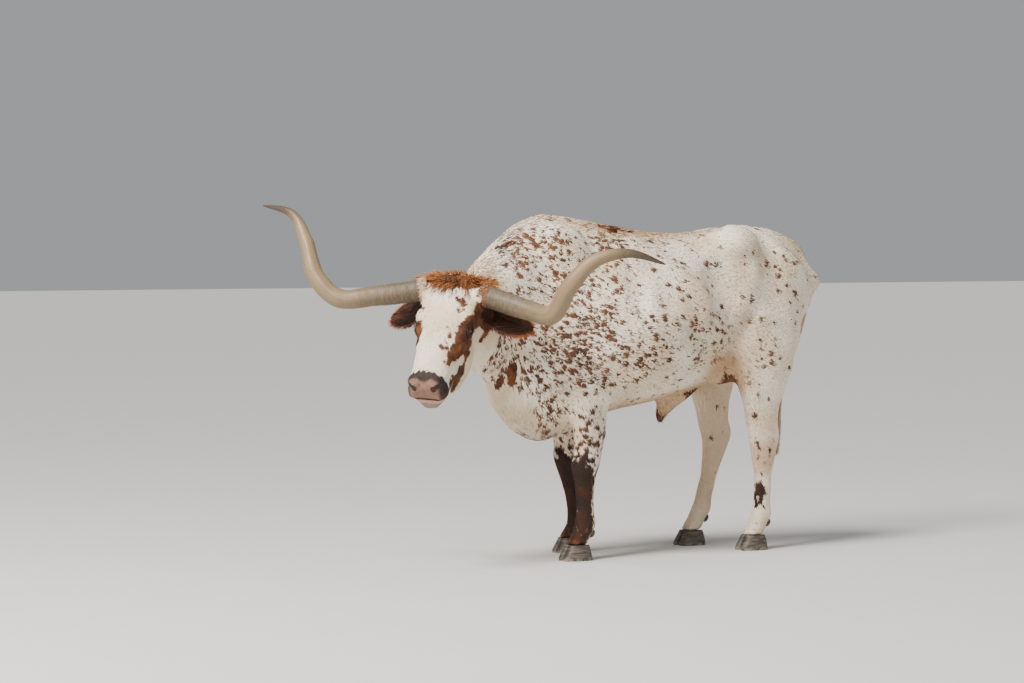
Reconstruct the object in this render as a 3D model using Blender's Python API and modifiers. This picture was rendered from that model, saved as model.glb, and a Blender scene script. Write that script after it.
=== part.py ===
"""A Texas longhorn steer, standing with its head turned to its left, at life size.

Every form is set out from the pin bones at the back of the pelvis: so far forward, so far to
the animal's left, and so high above the ground, in metres. In the finished model the animal
faces -X, its left side faces -Y, and the origin is on the ground under the middle of its box.
"""

import math
import random

import bmesh
import bpy
from mathutils import Matrix, Vector
from mathutils.bvhtree import BVHTree

FORWARD, LEFT, UP = Vector((-1.0, 0.0, 0.0)), Vector((0.0, -1.0, 0.0)), Vector((0.0, 0.0, 1.0))
GAP = 0.0003                      # clearance kept between touching pieces
HEAD_AT = (1.925, 0.175, 1.238)   # the poll, between the horns
HEAD_YAW = math.radians(42.0)     # the head is turned to the animal's left
HEAD_PITCH = math.radians(38.0)   # the face looks up from a level gaze by this much
HEAD_ROLL = math.radians(3.5)     # the left side of the head hangs lower
HEAD_LENGTH = 0.55                # poll to the tip of the nose
CORONET = 0.068                   # height of the hoof's upper edge
EYE_RADIUS = 0.021
EYE_AT = (0.106, 0.224, -0.061)   # across, down the face, out from the face
EYE_LOOK = (0.80, -0.10, 0.58)    # where it looks, in the same order
BODY_VOXEL = 0.014
HEAD_VOXEL = 0.006
TRUNK_SIDES, NECK_SIDES, LEG_SIDES, SKULL_SIDES, CORE_SIDES = 32, 28, 20, 32, 20
NECK_POWERS, LEG_POWER = (1.8, 1.7), 2.1

# Along the trunk: forward, top, height of the widest place, bottom, half width, and how square
# the upper and the lower half are (2 is an ellipse).
TRUNK = (
    (-0.015, 1.275, 1.20, 1.12, 0.100, 2.0, 2.0),
    (0.020, 1.375, 1.19, 1.04, 0.150, 1.8, 2.0),
    (0.090, 1.432, 1.18, 0.95, 0.190, 1.7, 2.0),
    (0.190, 1.464, 1.18, 0.82, 0.225, 1.7, 2.0),
    (0.320, 1.478, 1.20, 0.77, 0.245, 1.9, 2.1),
    (0.440, 1.462, 1.22, 0.76, 0.255, 2.3, 2.1),
    (0.560, 1.444, 1.18, 0.745, 0.258, 2.1, 2.2),
    (0.700, 1.438, 1.08, 0.712, 0.305, 1.9, 2.2),
    (0.850, 1.446, 1.03, 0.672, 0.340, 1.8, 2.2),
    (1.000, 1.470, 1.01, 0.650, 0.345, 1.7, 2.2),
    (1.130, 1.492, 1.01, 0.620, 0.310, 1.6, 2.1),
    (1.270, 1.518, 1.00, 0.550, 0.265, 1.6, 2.0),
    (1.380, 1.518, 0.98, 0.512, 0.240, 1.7, 2.0),
    (1.460, 1.480, 0.96, 0.525, 0.222, 1.8, 2.0),
    (1.540, 1.390, 0.93, 0.570, 0.190, 1.9, 2.0),
    (1.605, 1.240, 0.90, 0.640, 0.145, 2.0, 2.0),
    (1.650, 1.100, 0.88, 0.730, 0.080, 2.0, 2.0),
)

# Along the neck: forward, left, height of the centre line, depth above and below it, half width.
NECK = (
    (1.26, 0.000, 1.16, 0.350, 0.50, 0.205),
    (1.40, 0.000, 1.14, 0.385, 0.52, 0.195),
    (1.52, 0.010, 1.12, 0.362, 0.46, 0.170),
    (1.63, 0.035, 1.10, 0.305, 0.36, 0.150),
    (1.72, 0.070, 1.08, 0.258, 0.28, 0.135),
    (1.80, 0.110, 1.07, 0.206, 0.22, 0.122),
    (1.88, 0.150, 1.06, 0.148, 0.17, 0.110),
)

# Along the head, down the face from the poll: distance, face and jaw surface out from the face's
# plane, half width, where the widest place lies, and how square the face and jaw sides are.
SKULL = (
    (-0.040, -0.070, -0.170, 0.075, -0.12, 2.0, 2.0),
    (-0.010, -0.028, -0.215, 0.120, -0.10, 2.4, 2.0),
    (0.040, -0.004, -0.255, 0.140, -0.09, 2.6, 2.0),
    (0.100, 0.000, -0.280, 0.132, -0.09, 2.6, 2.0),
    (0.160, 0.002, -0.290, 0.127, -0.08, 2.6, 2.0),
    (0.215, 0.002, -0.286, 0.122, -0.08, 2.5, 1.9),
    (0.270, 0.001, -0.304, 0.114, -0.11, 2.3, 2.8),
    (0.330, 0.002, -0.296, 0.104, -0.11, 2.2, 3.2),
    (0.390, 0.004, -0.276, 0.096, -0.11, 2.2, 3.2),
    (0.440, 0.003, -0.248, 0.089, -0.10, 2.3, 3.0),
    (0.485, 0.000, -0.214, 0.084, -0.085, 2.5, 2.6),
    (0.520, -0.010, -0.194, 0.082, -0.078, 2.7, 2.3),
    (0.545, -0.024, -0.176, 0.075, -0.082, 2.7, 2.3),
    (0.560, -0.044, -0.152, 0.057, -0.090, 2.4, 2.2),
)

# Rounded masses of the head: across, down the face and out from it, and radii.
HEAD_MASSES = (
    ((0.0, 0.020, -0.075), (0.120, 0.060, 0.065)),         # poll
    ((0.0, -0.004, -0.034), (0.105, 0.046, 0.036)),        # core of the tuft
    ((0.0, 0.510, -0.162), (0.054, 0.050, 0.036)),         # chin
)
PAIRED_HEAD_MASSES = (
    ((0.115, 0.044, -0.062), (0.078, 0.057, 0.057)),       # horn core
    ((0.098, 0.226, -0.058), (0.034, 0.046, 0.034)),       # orbit
    ((0.057, 0.516, -0.094), (0.033, 0.040, 0.036)),       # upper lip
    ((0.096, 0.180, -0.040), (0.036, 0.052, 0.036)),       # brow
    ((0.062, 0.165, -0.195), (0.050, 0.100, 0.085)),       # cheek
    ((0.082, 0.275, -0.075), (0.030, 0.080, 0.026)),       # cheek bone
    ((0.042, 0.515, -0.036), (0.036, 0.034, 0.034)),       # wing of the nostril
    ((0.050, 0.480, -0.110), (0.028, 0.055, 0.032)),       # corner of the lips
)
NECK_CUT = ((0.0, 0.03, -0.190), (-0.60, -0.80))           # on the head, and its lean down and out
SHOULDER_CUT = ((1.52, 0.0, 1.15), (-0.94, -0.10, 0.33))   # on the body, and its normal
CUT_MARGIN = 0.03                                          # kept past a cut until the skin is thinned

# Joints of each leg from the top down, each so far forward, left and up.
LEGS = {
    "foreleg_left": ((1.46, 0.150, 1.02), (1.228, 0.185, 0.735), (1.262, 0.172, 0.425),
                     (1.262, 0.165, 0.140), (1.305, 0.165, CORONET)),
    "foreleg_right": ((1.42, -0.150, 1.02), (1.155, -0.180, 0.735), (1.155, -0.160, 0.425),
                      (1.108, -0.148, 0.140), (1.152, -0.148, CORONET)),
    "hindleg_left": ((0.330, 0.130, 1.16), (0.378, 0.185, 0.830), (0.306, 0.172, 0.470),
                     (0.326, 0.165, 0.145), (0.372, 0.165, CORONET)),
    "hindleg_right": ((0.340, -0.130, 1.16), (0.420, -0.185, 0.830), (0.335, -0.172, 0.470),
                      (0.445, -0.160, 0.145), (0.495, -0.160, CORONET)),
}

# Down a foreleg: place between joints, half length fore and aft, half width, forward shift.
FORELEG_FORM = (
    (0.00, 0.130, 0.085, 0.00), (0.45, 0.140, 0.095, 0.01), (0.80, 0.124, 0.088, 0.01),
    (1.00, 0.112, 0.080, 0.01), (1.25, 0.096, 0.070, 0.008), (1.55, 0.082, 0.060, -0.004),
    (1.82, 0.068, 0.056, -0.004), (1.97, 0.074, 0.062, 0.0), (2.12, 0.062, 0.056, 0.004),
    (2.30, 0.050, 0.044, 0.004), (2.60, 0.043, 0.038, 0.0), (2.82, 0.046, 0.041, -0.002),
    (2.98, 0.055, 0.049, -0.004), (3.35, 0.045, 0.045, 0.0), (3.75, 0.050, 0.050, 0.0),
    (4.00, 0.056, 0.054, 0.0),
)
HINDLEG_FORM = (
    (0.00, 0.200, 0.105, -0.02), (0.35, 0.212, 0.108, -0.03), (0.70, 0.195, 0.100, -0.045),
    (1.00, 0.165, 0.088, -0.05), (1.25, 0.128, 0.075, -0.03), (1.50, 0.094, 0.063, -0.010),
    (1.75, 0.079, 0.055, 0.004), (1.92, 0.076, 0.052, 0.006), (2.06, 0.068, 0.051, 0.010),
    (2.22, 0.055, 0.045, 0.006), (2.45, 0.044, 0.039, 0.002), (2.80, 0.044, 0.039, 0.0),
    (2.97, 0.055, 0.049, -0.004), (3.35, 0.045, 0.045, 0.0), (3.75, 0.050, 0.050, 0.0),
    (4.00, 0.056, 0.054, 0.0),
)

# Rounded masses under the hide: forward, left, up, radii, and the turn about the lateral axis.
MASSES = (
    ((1.330, 0.0, 1.375), (0.190, 0.105, 0.145), 8),       # crest of the shoulders
    ((0.050, 0.0, 1.365), (0.080, 0.042, 0.042), 25),      # root of the tail
    ((1.400, 0.0, 0.630), (0.130, 0.105, 0.115), -12),     # brisket
    ((0.475, 0.172, 1.395), (0.100, 0.092, 0.082), 6),     # left hook bone, which stands higher
    ((0.475, -0.172, 1.358), (0.100, 0.092, 0.082), 6),    # right hook bone
)
PAIRED_MASSES = (
    ((1.290, 0.120, 1.20), (0.160, 0.095, 0.300), -22),    # shoulder blade
    ((1.490, 0.140, 0.950), (0.100, 0.080, 0.150), 10),    # point of the shoulder
    ((1.265, 0.175, 0.860), (0.125, 0.080, 0.150), 15),    # triceps
    ((0.020, 0.110, 1.215), (0.058, 0.050, 0.058), 0),     # pin bone
    ((0.240, 0.150, 1.230), (0.180, 0.090, 0.150), 30),    # thurl
    ((0.210, 0.140, 1.010), (0.115, 0.085, 0.200), 14),    # back of the thigh
    ((0.400, 0.180, 0.900), (0.115, 0.075, 0.150), -14),   # stifle
    ((0.520, 0.145, 0.840), (0.120, 0.055, 0.090), -30),   # fold of the flank
)

# The sheath under the belly: forward, up and radius.
SHEATH = ((0.57, 0.790, 0.060), (0.66, 0.720, 0.062), (0.740, 0.662, 0.050), (0.772, 0.606, 0.030),
          (0.780, 0.572, 0.014))
SHEATH_UP, SHEATH_WIDTH, SHEATH_SIDES = Vector((-0.75, 0.0, 0.66)), 0.75, 14

# Local rises and hollows of the hide: place, radii of their reach, and height.
SURFACE_FORMS = (
    ((0.60, 0.23, 1.20), (0.13, 0.16, 0.17), -0.030),      # hollow of the flank
    ((0.33, 0.17, 1.39), (0.11, 0.08, 0.09), -0.016),      # between hook and pin
    ((0.10, 0.12, 1.30), (0.07, 0.07, 0.08), -0.014),      # beside the tail head
    ((0.72, 0.16, 1.425), (0.20, 0.06, 0.035), 0.012),     # ends of the loin's short ribs
    ((1.06, 0.28, 1.18), (0.07, 0.14, 0.22), -0.016),      # behind the shoulder blade
    ((1.45, 0.19, 1.12), (0.06, 0.12, 0.20), -0.014),      # before the shoulder blade
    ((1.20, 0.24, 0.64), (0.12, 0.14, 0.09), -0.016),      # girth behind the elbow
    ((1.20, 0.10, 1.50), (0.10, 0.07, 0.06), 0.010),       # top edge of the shoulder blade
    ((0.17, 0.22, 0.93), (0.035, 0.10, 0.20), -0.012),     # groove down the thigh
)
RIB_COUNT = 7
RIB_FIRST, RIB_STEP = 0.66, 0.066
RIB_SIDE, RIB_LEVEL, RIB_REACH, RIB_HEIGHT = 0.30, 1.10, (0.030, 0.16, 0.26), 0.0045

# Centre lines of the horns from the head's own axes: across, forward, up, all level with the
# ground when the head is upright; the two differ a little as they do on the animal.
HORN_LEFT = (
    (0.150, -0.003, 0.009), (0.338, 0.016, -0.036), (0.470, 0.082, -0.044), (0.551, 0.135, 0.073),
    (0.651, 0.127, 0.191), (0.786, 0.069, 0.233), (0.925, -0.008, 0.195),
)
HORN_RIGHT = (
    (0.150, 0.002, 0.014), (0.336, 0.064, -0.022), (0.484, 0.110, -0.040), (0.595, 0.115, 0.051),
    (0.661, 0.083, 0.195), (0.754, 0.033, 0.307), (0.907, -0.006, 0.335),
)
# Along a horn: share of its length and radius.
HORN_RADII = (
    (0.0, 0.046), (0.08, 0.046), (0.20, 0.042), (0.38, 0.040), (0.52, 0.037), (0.66, 0.031),
    (0.78, 0.0235), (0.88, 0.0155), (0.95, 0.0085), (1.0, 0.0022),
)
HORN_ROOT = (0.045, -0.060)       # down the face and out from it, where the horns' line crosses
HORN_STEPS = 34
HORN_SIDES = 12
HORN_SEAT = (0.062, 0.080)        # radius and length of the space cleared for a horn's root

EAR_ROOT = (0.118, 0.085, -0.120)
EAR_LENGTH, EAR_WIDTH, EAR_CUP, EAR_THICK = 0.225, 0.062, 0.032, 0.006

# Where a leg leaves the trunk: inner and outer side, reach before and behind the joint, and the
# height of the cut at its inner and outer side.
LEG_CUT = {
    "fore": (0.10, 0.50, (0.125, 0.110), 0.575, 1.035),
    "hind": (0.03, 0.50, (0.105, 0.300), 0.735, 1.060),
}
BELOW_GROUND = -0.1               # how low a cutting space reaches
HEAD_TRIANGLES, NECK_TRIANGLES, TORSO_TRIANGLES = 2900, 480, 4300
HEAD_SMOOTHING, BODY_SMOOTHING = 6, 7
LID_THICKNESS = 0.0055
LID_OPENING = (0.0180, 0.0120)    # half width and half height
LID_REACH = ((0.55, 1.0), (2.2, 1.5))    # depth in eye radii and spread of the opening's two ends
LID_SIDES = 14
NOSTRIL_AT, NOSTRIL_RADII = (0.046, 0.548, -0.034), (0.011, 0.024, 0.022)
# The mouth from its front to its corner: down the face, out, and half the gap.
MOUTH_LINE = ((0.600, -0.108, 0.0055), (0.560, -0.111, 0.0050), (0.510, -0.112, 0.0036),
              (0.460, -0.116, 0.0024), (0.425, -0.124, 0.0012))
MOUTH_DEPTH = 0.014
EAR_POINT, EAR_FACE = (1.0, -0.16, -0.45), (0.35, 0.10, 1.0)
EAR_DROOP = 0.022
# Along the ear from root to tip: place, breadth and depth of the cup.
EAR_FORM = (
    (-0.12, 0.42, 0.9), (0.06, 0.50, 1.2), (0.22, 0.78, 1.25), (0.40, 0.98, 1.0), (0.58, 1.0, 0.8),
    (0.76, 0.84, 0.55), (0.90, 0.52, 0.3), (0.99, 0.16, 0.08),
)
EAR_COLUMNS = 9                   # points across each face of an ear
# Up a claw: height, reach forward and back, and half width.
CLAW_FORM = ((0.0, 0.074, 0.058, 0.0275), (0.012, 0.073, 0.059, 0.0285), (0.040, 0.056, 0.055, 0.0265),
             (CORONET - GAP, 0.042, 0.048, 0.0225))
CLAW_CLEFT, CLAW_CLOSE = 0.006, 0.25
CLAW_SIDES, CLAW_POWER, CLAW_LEAST = 12, 2.4, 0.0008
# A dewclaw: behind the fetlock, beside its middle and below it, radii, and lean in degrees.
DEWCLAW_AT, DEWCLAW_RADII, DEWCLAW_LEAN = (0.30, 0.020, 0.025), (0.013, 0.011, 0.020), 35
# The heel bone: behind the hock and above it, radii, and lean in degrees.
HEEL_AT, HEEL_RADII, HEEL_LEAN = (0.052, 0.035), (0.026, 0.024, 0.060), 6

# Rows of the poll's tuft, from its back to the forehead: place down the face and out from it, the
# lean down and out, how far the lock falls forward, its length, how far the row spreads to each
# side, and its count.
TUFT_ROWS = (
    (-0.034, -0.058, -0.75, 0.80, 0.20, 0.074, 0.104, 8),
    (-0.018, -0.038, -0.30, 1.00, 0.45, 0.088, 0.116, 9),
    (0.004, -0.018, 0.25, 1.00, 0.80, 0.088, 0.116, 9),
    (0.026, -0.010, 0.60, 0.70, 0.85, 0.080, 0.088, 7),
)
TUFT_LOCK = (0.0180, 0.0060)      # half width and half thickness of a lock
TUFT_SPLAY = 0.70                 # how far the outer locks lean to the side
LOCK_SUNK = 0.016                 # depth of a lock's root under the skin
LOCK_TAPER = ((-0.25, 0.70), (0.0, 1.0), (0.35, 1.0), (0.70, 0.72), (1.0, 0.07))
SWITCH_LOCKS = 14
SWITCH_LOCK = (0.0100, 0.0045)
SWITCH_TOP, SWITCH_FALL, SWITCH_REACH = 0.700, 0.150, 0.165
SWITCH_SPREAD = 0.011
SEED = 11

TAIL_PATH = ((0.100, 0.0, 1.380), (0.045, 0.0, 1.372), (-0.005, 0.0, 1.325), (-0.026, 0.0, 1.240),
             (-0.030, 0.0, 1.150), (-0.026, -0.004, 1.060), (0.004, -0.008, 0.955), (0.046, -0.010, 0.860),
             (0.086, -0.010, 0.770), (0.104, -0.010, 0.670))
TAIL_RADII = (0.036, 0.034, 0.027, 0.022, 0.0185, 0.016, 0.0145, 0.0135, 0.0125, 0.012)
TAIL_STEPS, SWITCH_STEPS, TAIL_SIDES = 20, 6, 8
SWITCH_PATH = ((0.104, -0.010, 0.690), (0.110, -0.010, 0.620), (0.118, -0.010, 0.550), (0.122, -0.010, 0.485))
SWITCH_RADII = (0.012, 0.013, 0.009, 0.003)

COLOURS = {
    "hide": ((0.78, 0.70, 0.62), 0.85),
    "horn": ((0.42, 0.33, 0.22), 0.45),
    "ear": ((0.16, 0.06, 0.035), 0.85),
    "eye": ((0.02, 0.012, 0.01), 0.12),
    "hoof": ((0.10, 0.08, 0.065), 0.5),
    "tail": ((0.70, 0.60, 0.46), 0.85),
}


def at(forward, left, up):
    """The point so far forward and left of the pin bones and so high above the ground."""
    return Vector((-forward, -left, up))


def head_axes():
    """The head's own axes: to its left, down its face, and out from its face."""
    ahead = Vector((-math.cos(HEAD_YAW), -math.sin(HEAD_YAW), 0.0))
    left = Vector((math.sin(HEAD_YAW), -math.cos(HEAD_YAW), 0.0))
    up = Vector((0.0, 0.0, 1.0))
    leaned_left = left * math.cos(HEAD_ROLL) - up * math.sin(HEAD_ROLL)
    leaned_up = up * math.cos(HEAD_ROLL) + left * math.sin(HEAD_ROLL)
    outward = ahead * math.cos(HEAD_PITCH) + leaned_up * math.sin(HEAD_PITCH)
    down = ahead * math.sin(HEAD_PITCH) - leaned_up * math.cos(HEAD_PITCH)
    return leaned_left, down, outward, ahead, leaned_up


def on_head(left, down, outward):
    """The point given in the head's own axes from the poll."""
    across, along, out = head_axes()[:3]
    return at(*HEAD_AT) + across * left + along * down + out * outward


def clear_scene():
    """Removes whatever the new file brings."""
    for obj in list(bpy.data.objects):
        bpy.data.objects.remove(obj)


def collection_of(name):
    made = bpy.data.collections.new(name)
    bpy.context.scene.collection.children.link(made)
    return made


def material_of(name):
    colour, roughness = COLOURS[name]
    made = bpy.data.materials.get(name) or bpy.data.materials.new(name)
    made.use_nodes = True
    shader = made.node_tree.nodes["Principled BSDF"]
    shader.inputs["Base Color"].default_value = (*colour, 1.0)
    shader.inputs["Roughness"].default_value = roughness
    shader.inputs["Metallic"].default_value = 0.0
    return made


def object_of(name, mesh, place):
    made = bpy.data.objects.new(name, mesh)
    place.objects.link(made)
    return made


def mesh_of(name, bm):
    bmesh.ops.recalc_face_normals(bm, faces=bm.faces)
    mesh = bpy.data.meshes.new(name)
    bm.to_mesh(mesh)
    bm.free()
    return mesh


def smooth_step(value):
    value = min(max(value, 0.0), 1.0)
    return value * value * (3.0 - 2.0 * value)


def between(table, place):
    """The row of numbers at a place in a table of rows that start with their own place."""
    for low, high in zip(table, table[1:]):
        if place <= high[0]:
            share = (place - low[0]) / (high[0] - low[0])
            return tuple(a + (b - a) * share for a, b in zip(low, high))
    return table[-1]


def smooth_path(points, count):
    """A smooth curve through the points, as so many points evenly spaced in the parameter."""
    found = []
    last = len(points) - 1
    for step in range(count):
        place = step * last / (count - 1)
        index = min(int(place), last - 1)
        t = place - index
        p0, p1 = points[max(index - 1, 0)], points[index]
        p2, p3 = points[index + 1], points[min(index + 2, last)]
        found.append(0.5 * ((2 * p1) + (p2 - p0) * t + (2 * p0 - 5 * p1 + 4 * p2 - p3) * t * t
                            + (3 * p1 - p0 - 3 * p2 + p3) * t * t * t))
    return found


def rounded(angle, power):
    """Cosine and sine of an angle on a superellipse."""
    c, s = math.cos(angle), math.sin(angle)
    return (math.copysign(abs(c) ** (2.0 / power), c), math.copysign(abs(s) ** (2.0 / power), s))


def loft(name, rings, place):
    """A closed skin over rings that have one count of points."""
    bm = bmesh.new()
    rows = [[bm.verts.new(point) for point in ring] for ring in rings]
    count = len(rings[0])
    for low, high in zip(rows, rows[1:]):
        for i in range(count):
            bm.faces.new((low[i], low[(i + 1) % count], high[(i + 1) % count], high[i]))
    for row in (rows[0], rows[-1]):
        middle = bm.verts.new(sum((v.co for v in row), Vector()) / count)
        for i in range(count):
            bm.faces.new((row[i], row[(i + 1) % count], middle))
    return object_of(name, mesh_of(name, bm), place)


def egg_ring(centre, side, up, half_width, above, below, top_power, low_power, count):
    """A ring that is wide at its centre, with its own depth and squareness above and below."""
    ring = []
    for i in range(count):
        angle = math.tau * i / count
        c, s = rounded(angle, top_power if math.sin(angle) >= 0 else low_power)
        ring.append(centre + side * (half_width * c) + up * ((above if s >= 0 else below) * s))
    return ring


def make_trunk(place):
    rings = []
    for forward, top, widest, bottom, half, top_power, low_power in TRUNK:
        rings.append(egg_ring(at(forward, 0.0, widest), LEFT, UP, half, top - widest, widest - bottom,
                              top_power, low_power, TRUNK_SIDES))
    return loft("trunk", rings, place)


def make_neck(place):
    centres = [at(*row[:3]) for row in NECK]
    rings = []
    for i, (row, centre) in enumerate(zip(NECK, centres)):
        ahead = centres[min(i + 1, len(centres) - 1)] - centres[max(i - 1, 0)]
        ahead.z = 0.0
        side = UP.cross(ahead.normalized())
        rings.append(egg_ring(centre, side, UP, row[5], row[3], row[4], *NECK_POWERS, NECK_SIDES))
    return loft("neck_form", rings, place)


def make_leg(name, place):
    """One leg: rings down its joints, level and lengthened fore and aft."""
    joints = [at(*joint) for joint in LEGS[name]]
    rings = []
    for where, half_length, half_width, shift in FORELEG_FORM if "fore" in name else HINDLEG_FORM:
        index = min(int(where), len(joints) - 2)
        centre = joints[index].lerp(joints[index + 1], where - index) + at(shift, 0.0, 0.0)
        rings.append(egg_ring(centre, FORWARD, LEFT, half_length, half_width, half_width,
                              LEG_POWER, LEG_POWER, LEG_SIDES))
    return loft(name + "_form", rings, place)


def make_mass(name, centre, radii, turn, place):
    """An ellipsoid leaned forward or back about the lateral axis."""
    bm = bmesh.new()
    bmesh.ops.create_uvsphere(bm, u_segments=24, v_segments=16, radius=1.0)
    lean = Matrix.Rotation(math.radians(turn), 4, "Y")
    bm.transform(Matrix.Translation(at(*centre)) @ lean @ Matrix.Diagonal((*radii, 1.0)))
    return object_of(name, mesh_of(name, bm), place)


def make_hock(name, place):
    """The heel bone behind the hock."""
    joint = LEGS[name][2]
    centre = (joint[0] - HEEL_AT[0], joint[1], joint[2] + HEEL_AT[1])
    return make_mass(name + "_heel", centre, HEEL_RADII, HEEL_LEAN, place)


def make_sheath(place):
    rings = []
    for forward, up, radius in SHEATH:
        rings.append(egg_ring(at(forward, 0.0, up), LEFT, SHEATH_UP, radius * SHEATH_WIDTH, radius, radius,
                              2.0, 2.0, SHEATH_SIDES))
    return loft("sheath_form", rings, place)


def make_skull(place, inset=0.0, count=SKULL_SIDES):
    """The head from poll to nose, in rings across its own axes, or its core at some depth."""
    across, out = head_axes()[0], head_axes()[2]
    scale = HEAD_LENGTH / SKULL[-1][0]
    rings = []
    for down, face, jaw, half, widest, face_power, jaw_power in SKULL:
        rings.append(egg_ring(on_head(0.0, down * scale - inset, widest), across, out, half - inset,
                              face - widest - inset, widest - jaw - inset, face_power, jaw_power, count))
    return loft("skull_form", rings, place)


def head_mass(name, centre, radii, place):
    """An ellipsoid in the head's own axes."""
    across, along, out = head_axes()[:3]
    turn = Matrix((across, along, out)).transposed().to_4x4()
    bm = bmesh.new()
    bmesh.ops.create_uvsphere(bm, u_segments=24, v_segments=16, radius=1.0)
    bm.transform(Matrix.Translation(on_head(*centre)) @ turn @ Matrix.Diagonal((*radii, 1.0)))
    return object_of(name, mesh_of(name, bm), place)


def make_head_masses(place):
    """The rounded masses that fill the skull out."""
    made = [head_mass("mass", centre, radii, place) for centre, radii in HEAD_MASSES]
    for (across, down, out), radii in PAIRED_HEAD_MASSES:
        for side in (1, -1):
            made.append(head_mass("mass", (side * across, down, out), radii, place))
    return made


def evaluated_mesh(obj):
    """The object's mesh with its modifiers and its place worked in."""
    graph = bpy.context.evaluated_depsgraph_get()
    mesh = bpy.data.meshes.new_from_object(obj.evaluated_get(graph))
    mesh.transform(obj.matrix_world)
    return mesh


def apply_modifiers(obj):
    mesh = evaluated_mesh(obj)
    obj.modifiers.clear()
    obj.data = mesh
    obj.matrix_world = Matrix.Identity(4)
    return obj


def blended(name, pieces, voxel, smoothing, place):
    """The pieces run together as one closed skin."""
    bm = bmesh.new()
    for piece in pieces:
        bm.from_mesh(piece.data)
    whole = object_of(name, mesh_of(name, bm), place)
    for piece in pieces:
        bpy.data.objects.remove(piece)
    remesh = whole.modifiers.new("Remesh", "REMESH")
    remesh.mode = "VOXEL"
    remesh.voxel_size = voxel
    smooth = whole.modifiers.new("Smooth", "SMOOTH")
    smooth.factor = 0.6
    smooth.iterations = smoothing
    return apply_modifiers(whole)


def press(obj, centre, radii, height):
    """Raises or sinks the skin along its normals, most at the centre of an ellipsoid."""
    moves = []
    for vertex in obj.data.vertices:
        offset = vertex.co - centre
        away = math.sqrt(sum((offset[k] / radii[k]) ** 2 for k in range(3)))
        if away < 1.0:
            moves.append((vertex.index, vertex.normal * (height * smooth_step(1.0 - away))))
    for index, move in moves:
        obj.data.vertices[index].co += move
    obj.data.update()


def shape_hide(obj):
    """Hollows, edges of bones and ribs on both sides of the trunk."""
    for centre, radii, height in SURFACE_FORMS:
        for side in (1, -1):
            press(obj, at(centre[0], side * centre[1], centre[2]), radii, height)
    for i in range(RIB_COUNT):
        for side in (1, -1):
            rib = at(RIB_FIRST + i * RIB_STEP, side * RIB_SIDE, RIB_LEVEL)
            press(obj, rib, RIB_REACH, RIB_HEIGHT)


def fill_holes(bm):
    edges = [edge for edge in bm.edges if edge.is_boundary]
    if edges:
        bmesh.ops.holes_fill(bm, edges=edges, sides=0)
        bmesh.ops.triangulate(bm, faces=[f for f in bm.faces if len(f.verts) > 4])


def cut_away(bm, point, normal):
    """Removes what lies on the side that the normal points to, and closes the cut."""
    bmesh.ops.bisect_plane(bm, geom=bm.verts[:] + bm.edges[:] + bm.faces[:], dist=1e-6,
                           plane_co=point, plane_no=normal, clear_outer=True)
    fill_holes(bm)


def keep_largest(obj):
    """Drops every loose surface but the largest."""
    bm = bmesh.new()
    bm.from_mesh(obj.data)
    left, groups = set(bm.faces), []
    while left:
        stack, group = [left.pop()], []
        while stack:
            face = stack.pop()
            group.append(face)
            for edge in face.edges:
                for other in edge.link_faces:
                    if other in left:
                        left.remove(other)
                        stack.append(other)
        groups.append(group)
    groups.sort(key=lambda g: sum(f.calc_area() for f in g))
    for group in groups[:-1]:
        bmesh.ops.delete(bm, geom=group, context="FACES")
    bm.to_mesh(obj.data)
    bm.free()
    return obj


def portion(whole, name, planes, triangles, place):
    """The part of the whole behind each plane, thinned to so many triangles and cut clean."""
    bm = bmesh.new()
    bm.from_mesh(whole.data)
    for point, normal in planes:
        cut_away(bm, point + normal.normalized() * CUT_MARGIN, normal)
    made = keep_largest(object_of(name, mesh_of(name, bm), place))
    count = sum(len(face.vertices) - 2 for face in made.data.polygons)
    thin = made.modifiers.new("Decimate", "DECIMATE")
    thin.ratio = min(1.0, triangles / count)
    apply_modifiers(made)
    bm = bmesh.new()
    bm.from_mesh(made.data)
    bmesh.ops.triangulate(bm, faces=bm.faces)
    for point, normal in planes:
        cut_away(bm, point, normal)
    made.data = mesh_of(name, bm)
    return keep_largest(made)


def boolean(obj, other, operation, solver="EXACT"):
    """Joins or cuts an object with another, or with a collection's objects, and applies it."""
    modifier = obj.modifiers.new("Boolean", "BOOLEAN")
    modifier.operation = operation
    modifier.solver = solver
    if isinstance(other, bpy.types.Collection):
        modifier.operand_type = "COLLECTION"
        modifier.collection = other
    else:
        modifier.object = other
    return keep_largest(apply_modifiers(obj))


def swollen(obj, name, by, place):
    """A copy of an object with its skin moved outwards."""
    copy = object_of(name, obj.data.copy(), place)
    moves = [vertex.normal * by for vertex in copy.data.vertices]
    for vertex, move in zip(copy.data.vertices, moves):
        vertex.co += move
    copy.data.update()
    return copy


def trim_clear(obj, neighbour, place):
    """Cuts an object back to a thin gap from its neighbour's skin."""
    cutter = swollen(neighbour, "cutter", GAP, place)
    boolean(obj, cutter, "DIFFERENCE")
    bpy.data.objects.remove(cutter)
    return obj


def dress(obj, name):
    """Gives an object its material and smooth shading."""
    obj.data.materials.clear()
    obj.data.materials.append(material_of(name))
    obj.data.shade_smooth()
    return obj


def gap_planes(point, normal):
    """The same cut seen from its two sides, half a gap back on each."""
    normal = Vector(normal).normalized()
    return (point - normal * (GAP / 2), normal), (point + normal * (GAP / 2), -normal)


def neck_cut():
    """The plane between head and neck, behind the jaw and the poll."""
    along, out = head_axes()[1:3]
    place, (down, outward) = NECK_CUT
    return gap_planes(on_head(*place), along * down + out * outward)


def shoulder_cut():
    """The plane between neck and trunk, from the crest to the breast."""
    place, normal = SHOULDER_CUT
    return gap_planes(at(*place), Vector(normal))


def copy_of(obj, place):
    return object_of(obj.name + "_copy", obj.data.copy(), place)


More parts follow.
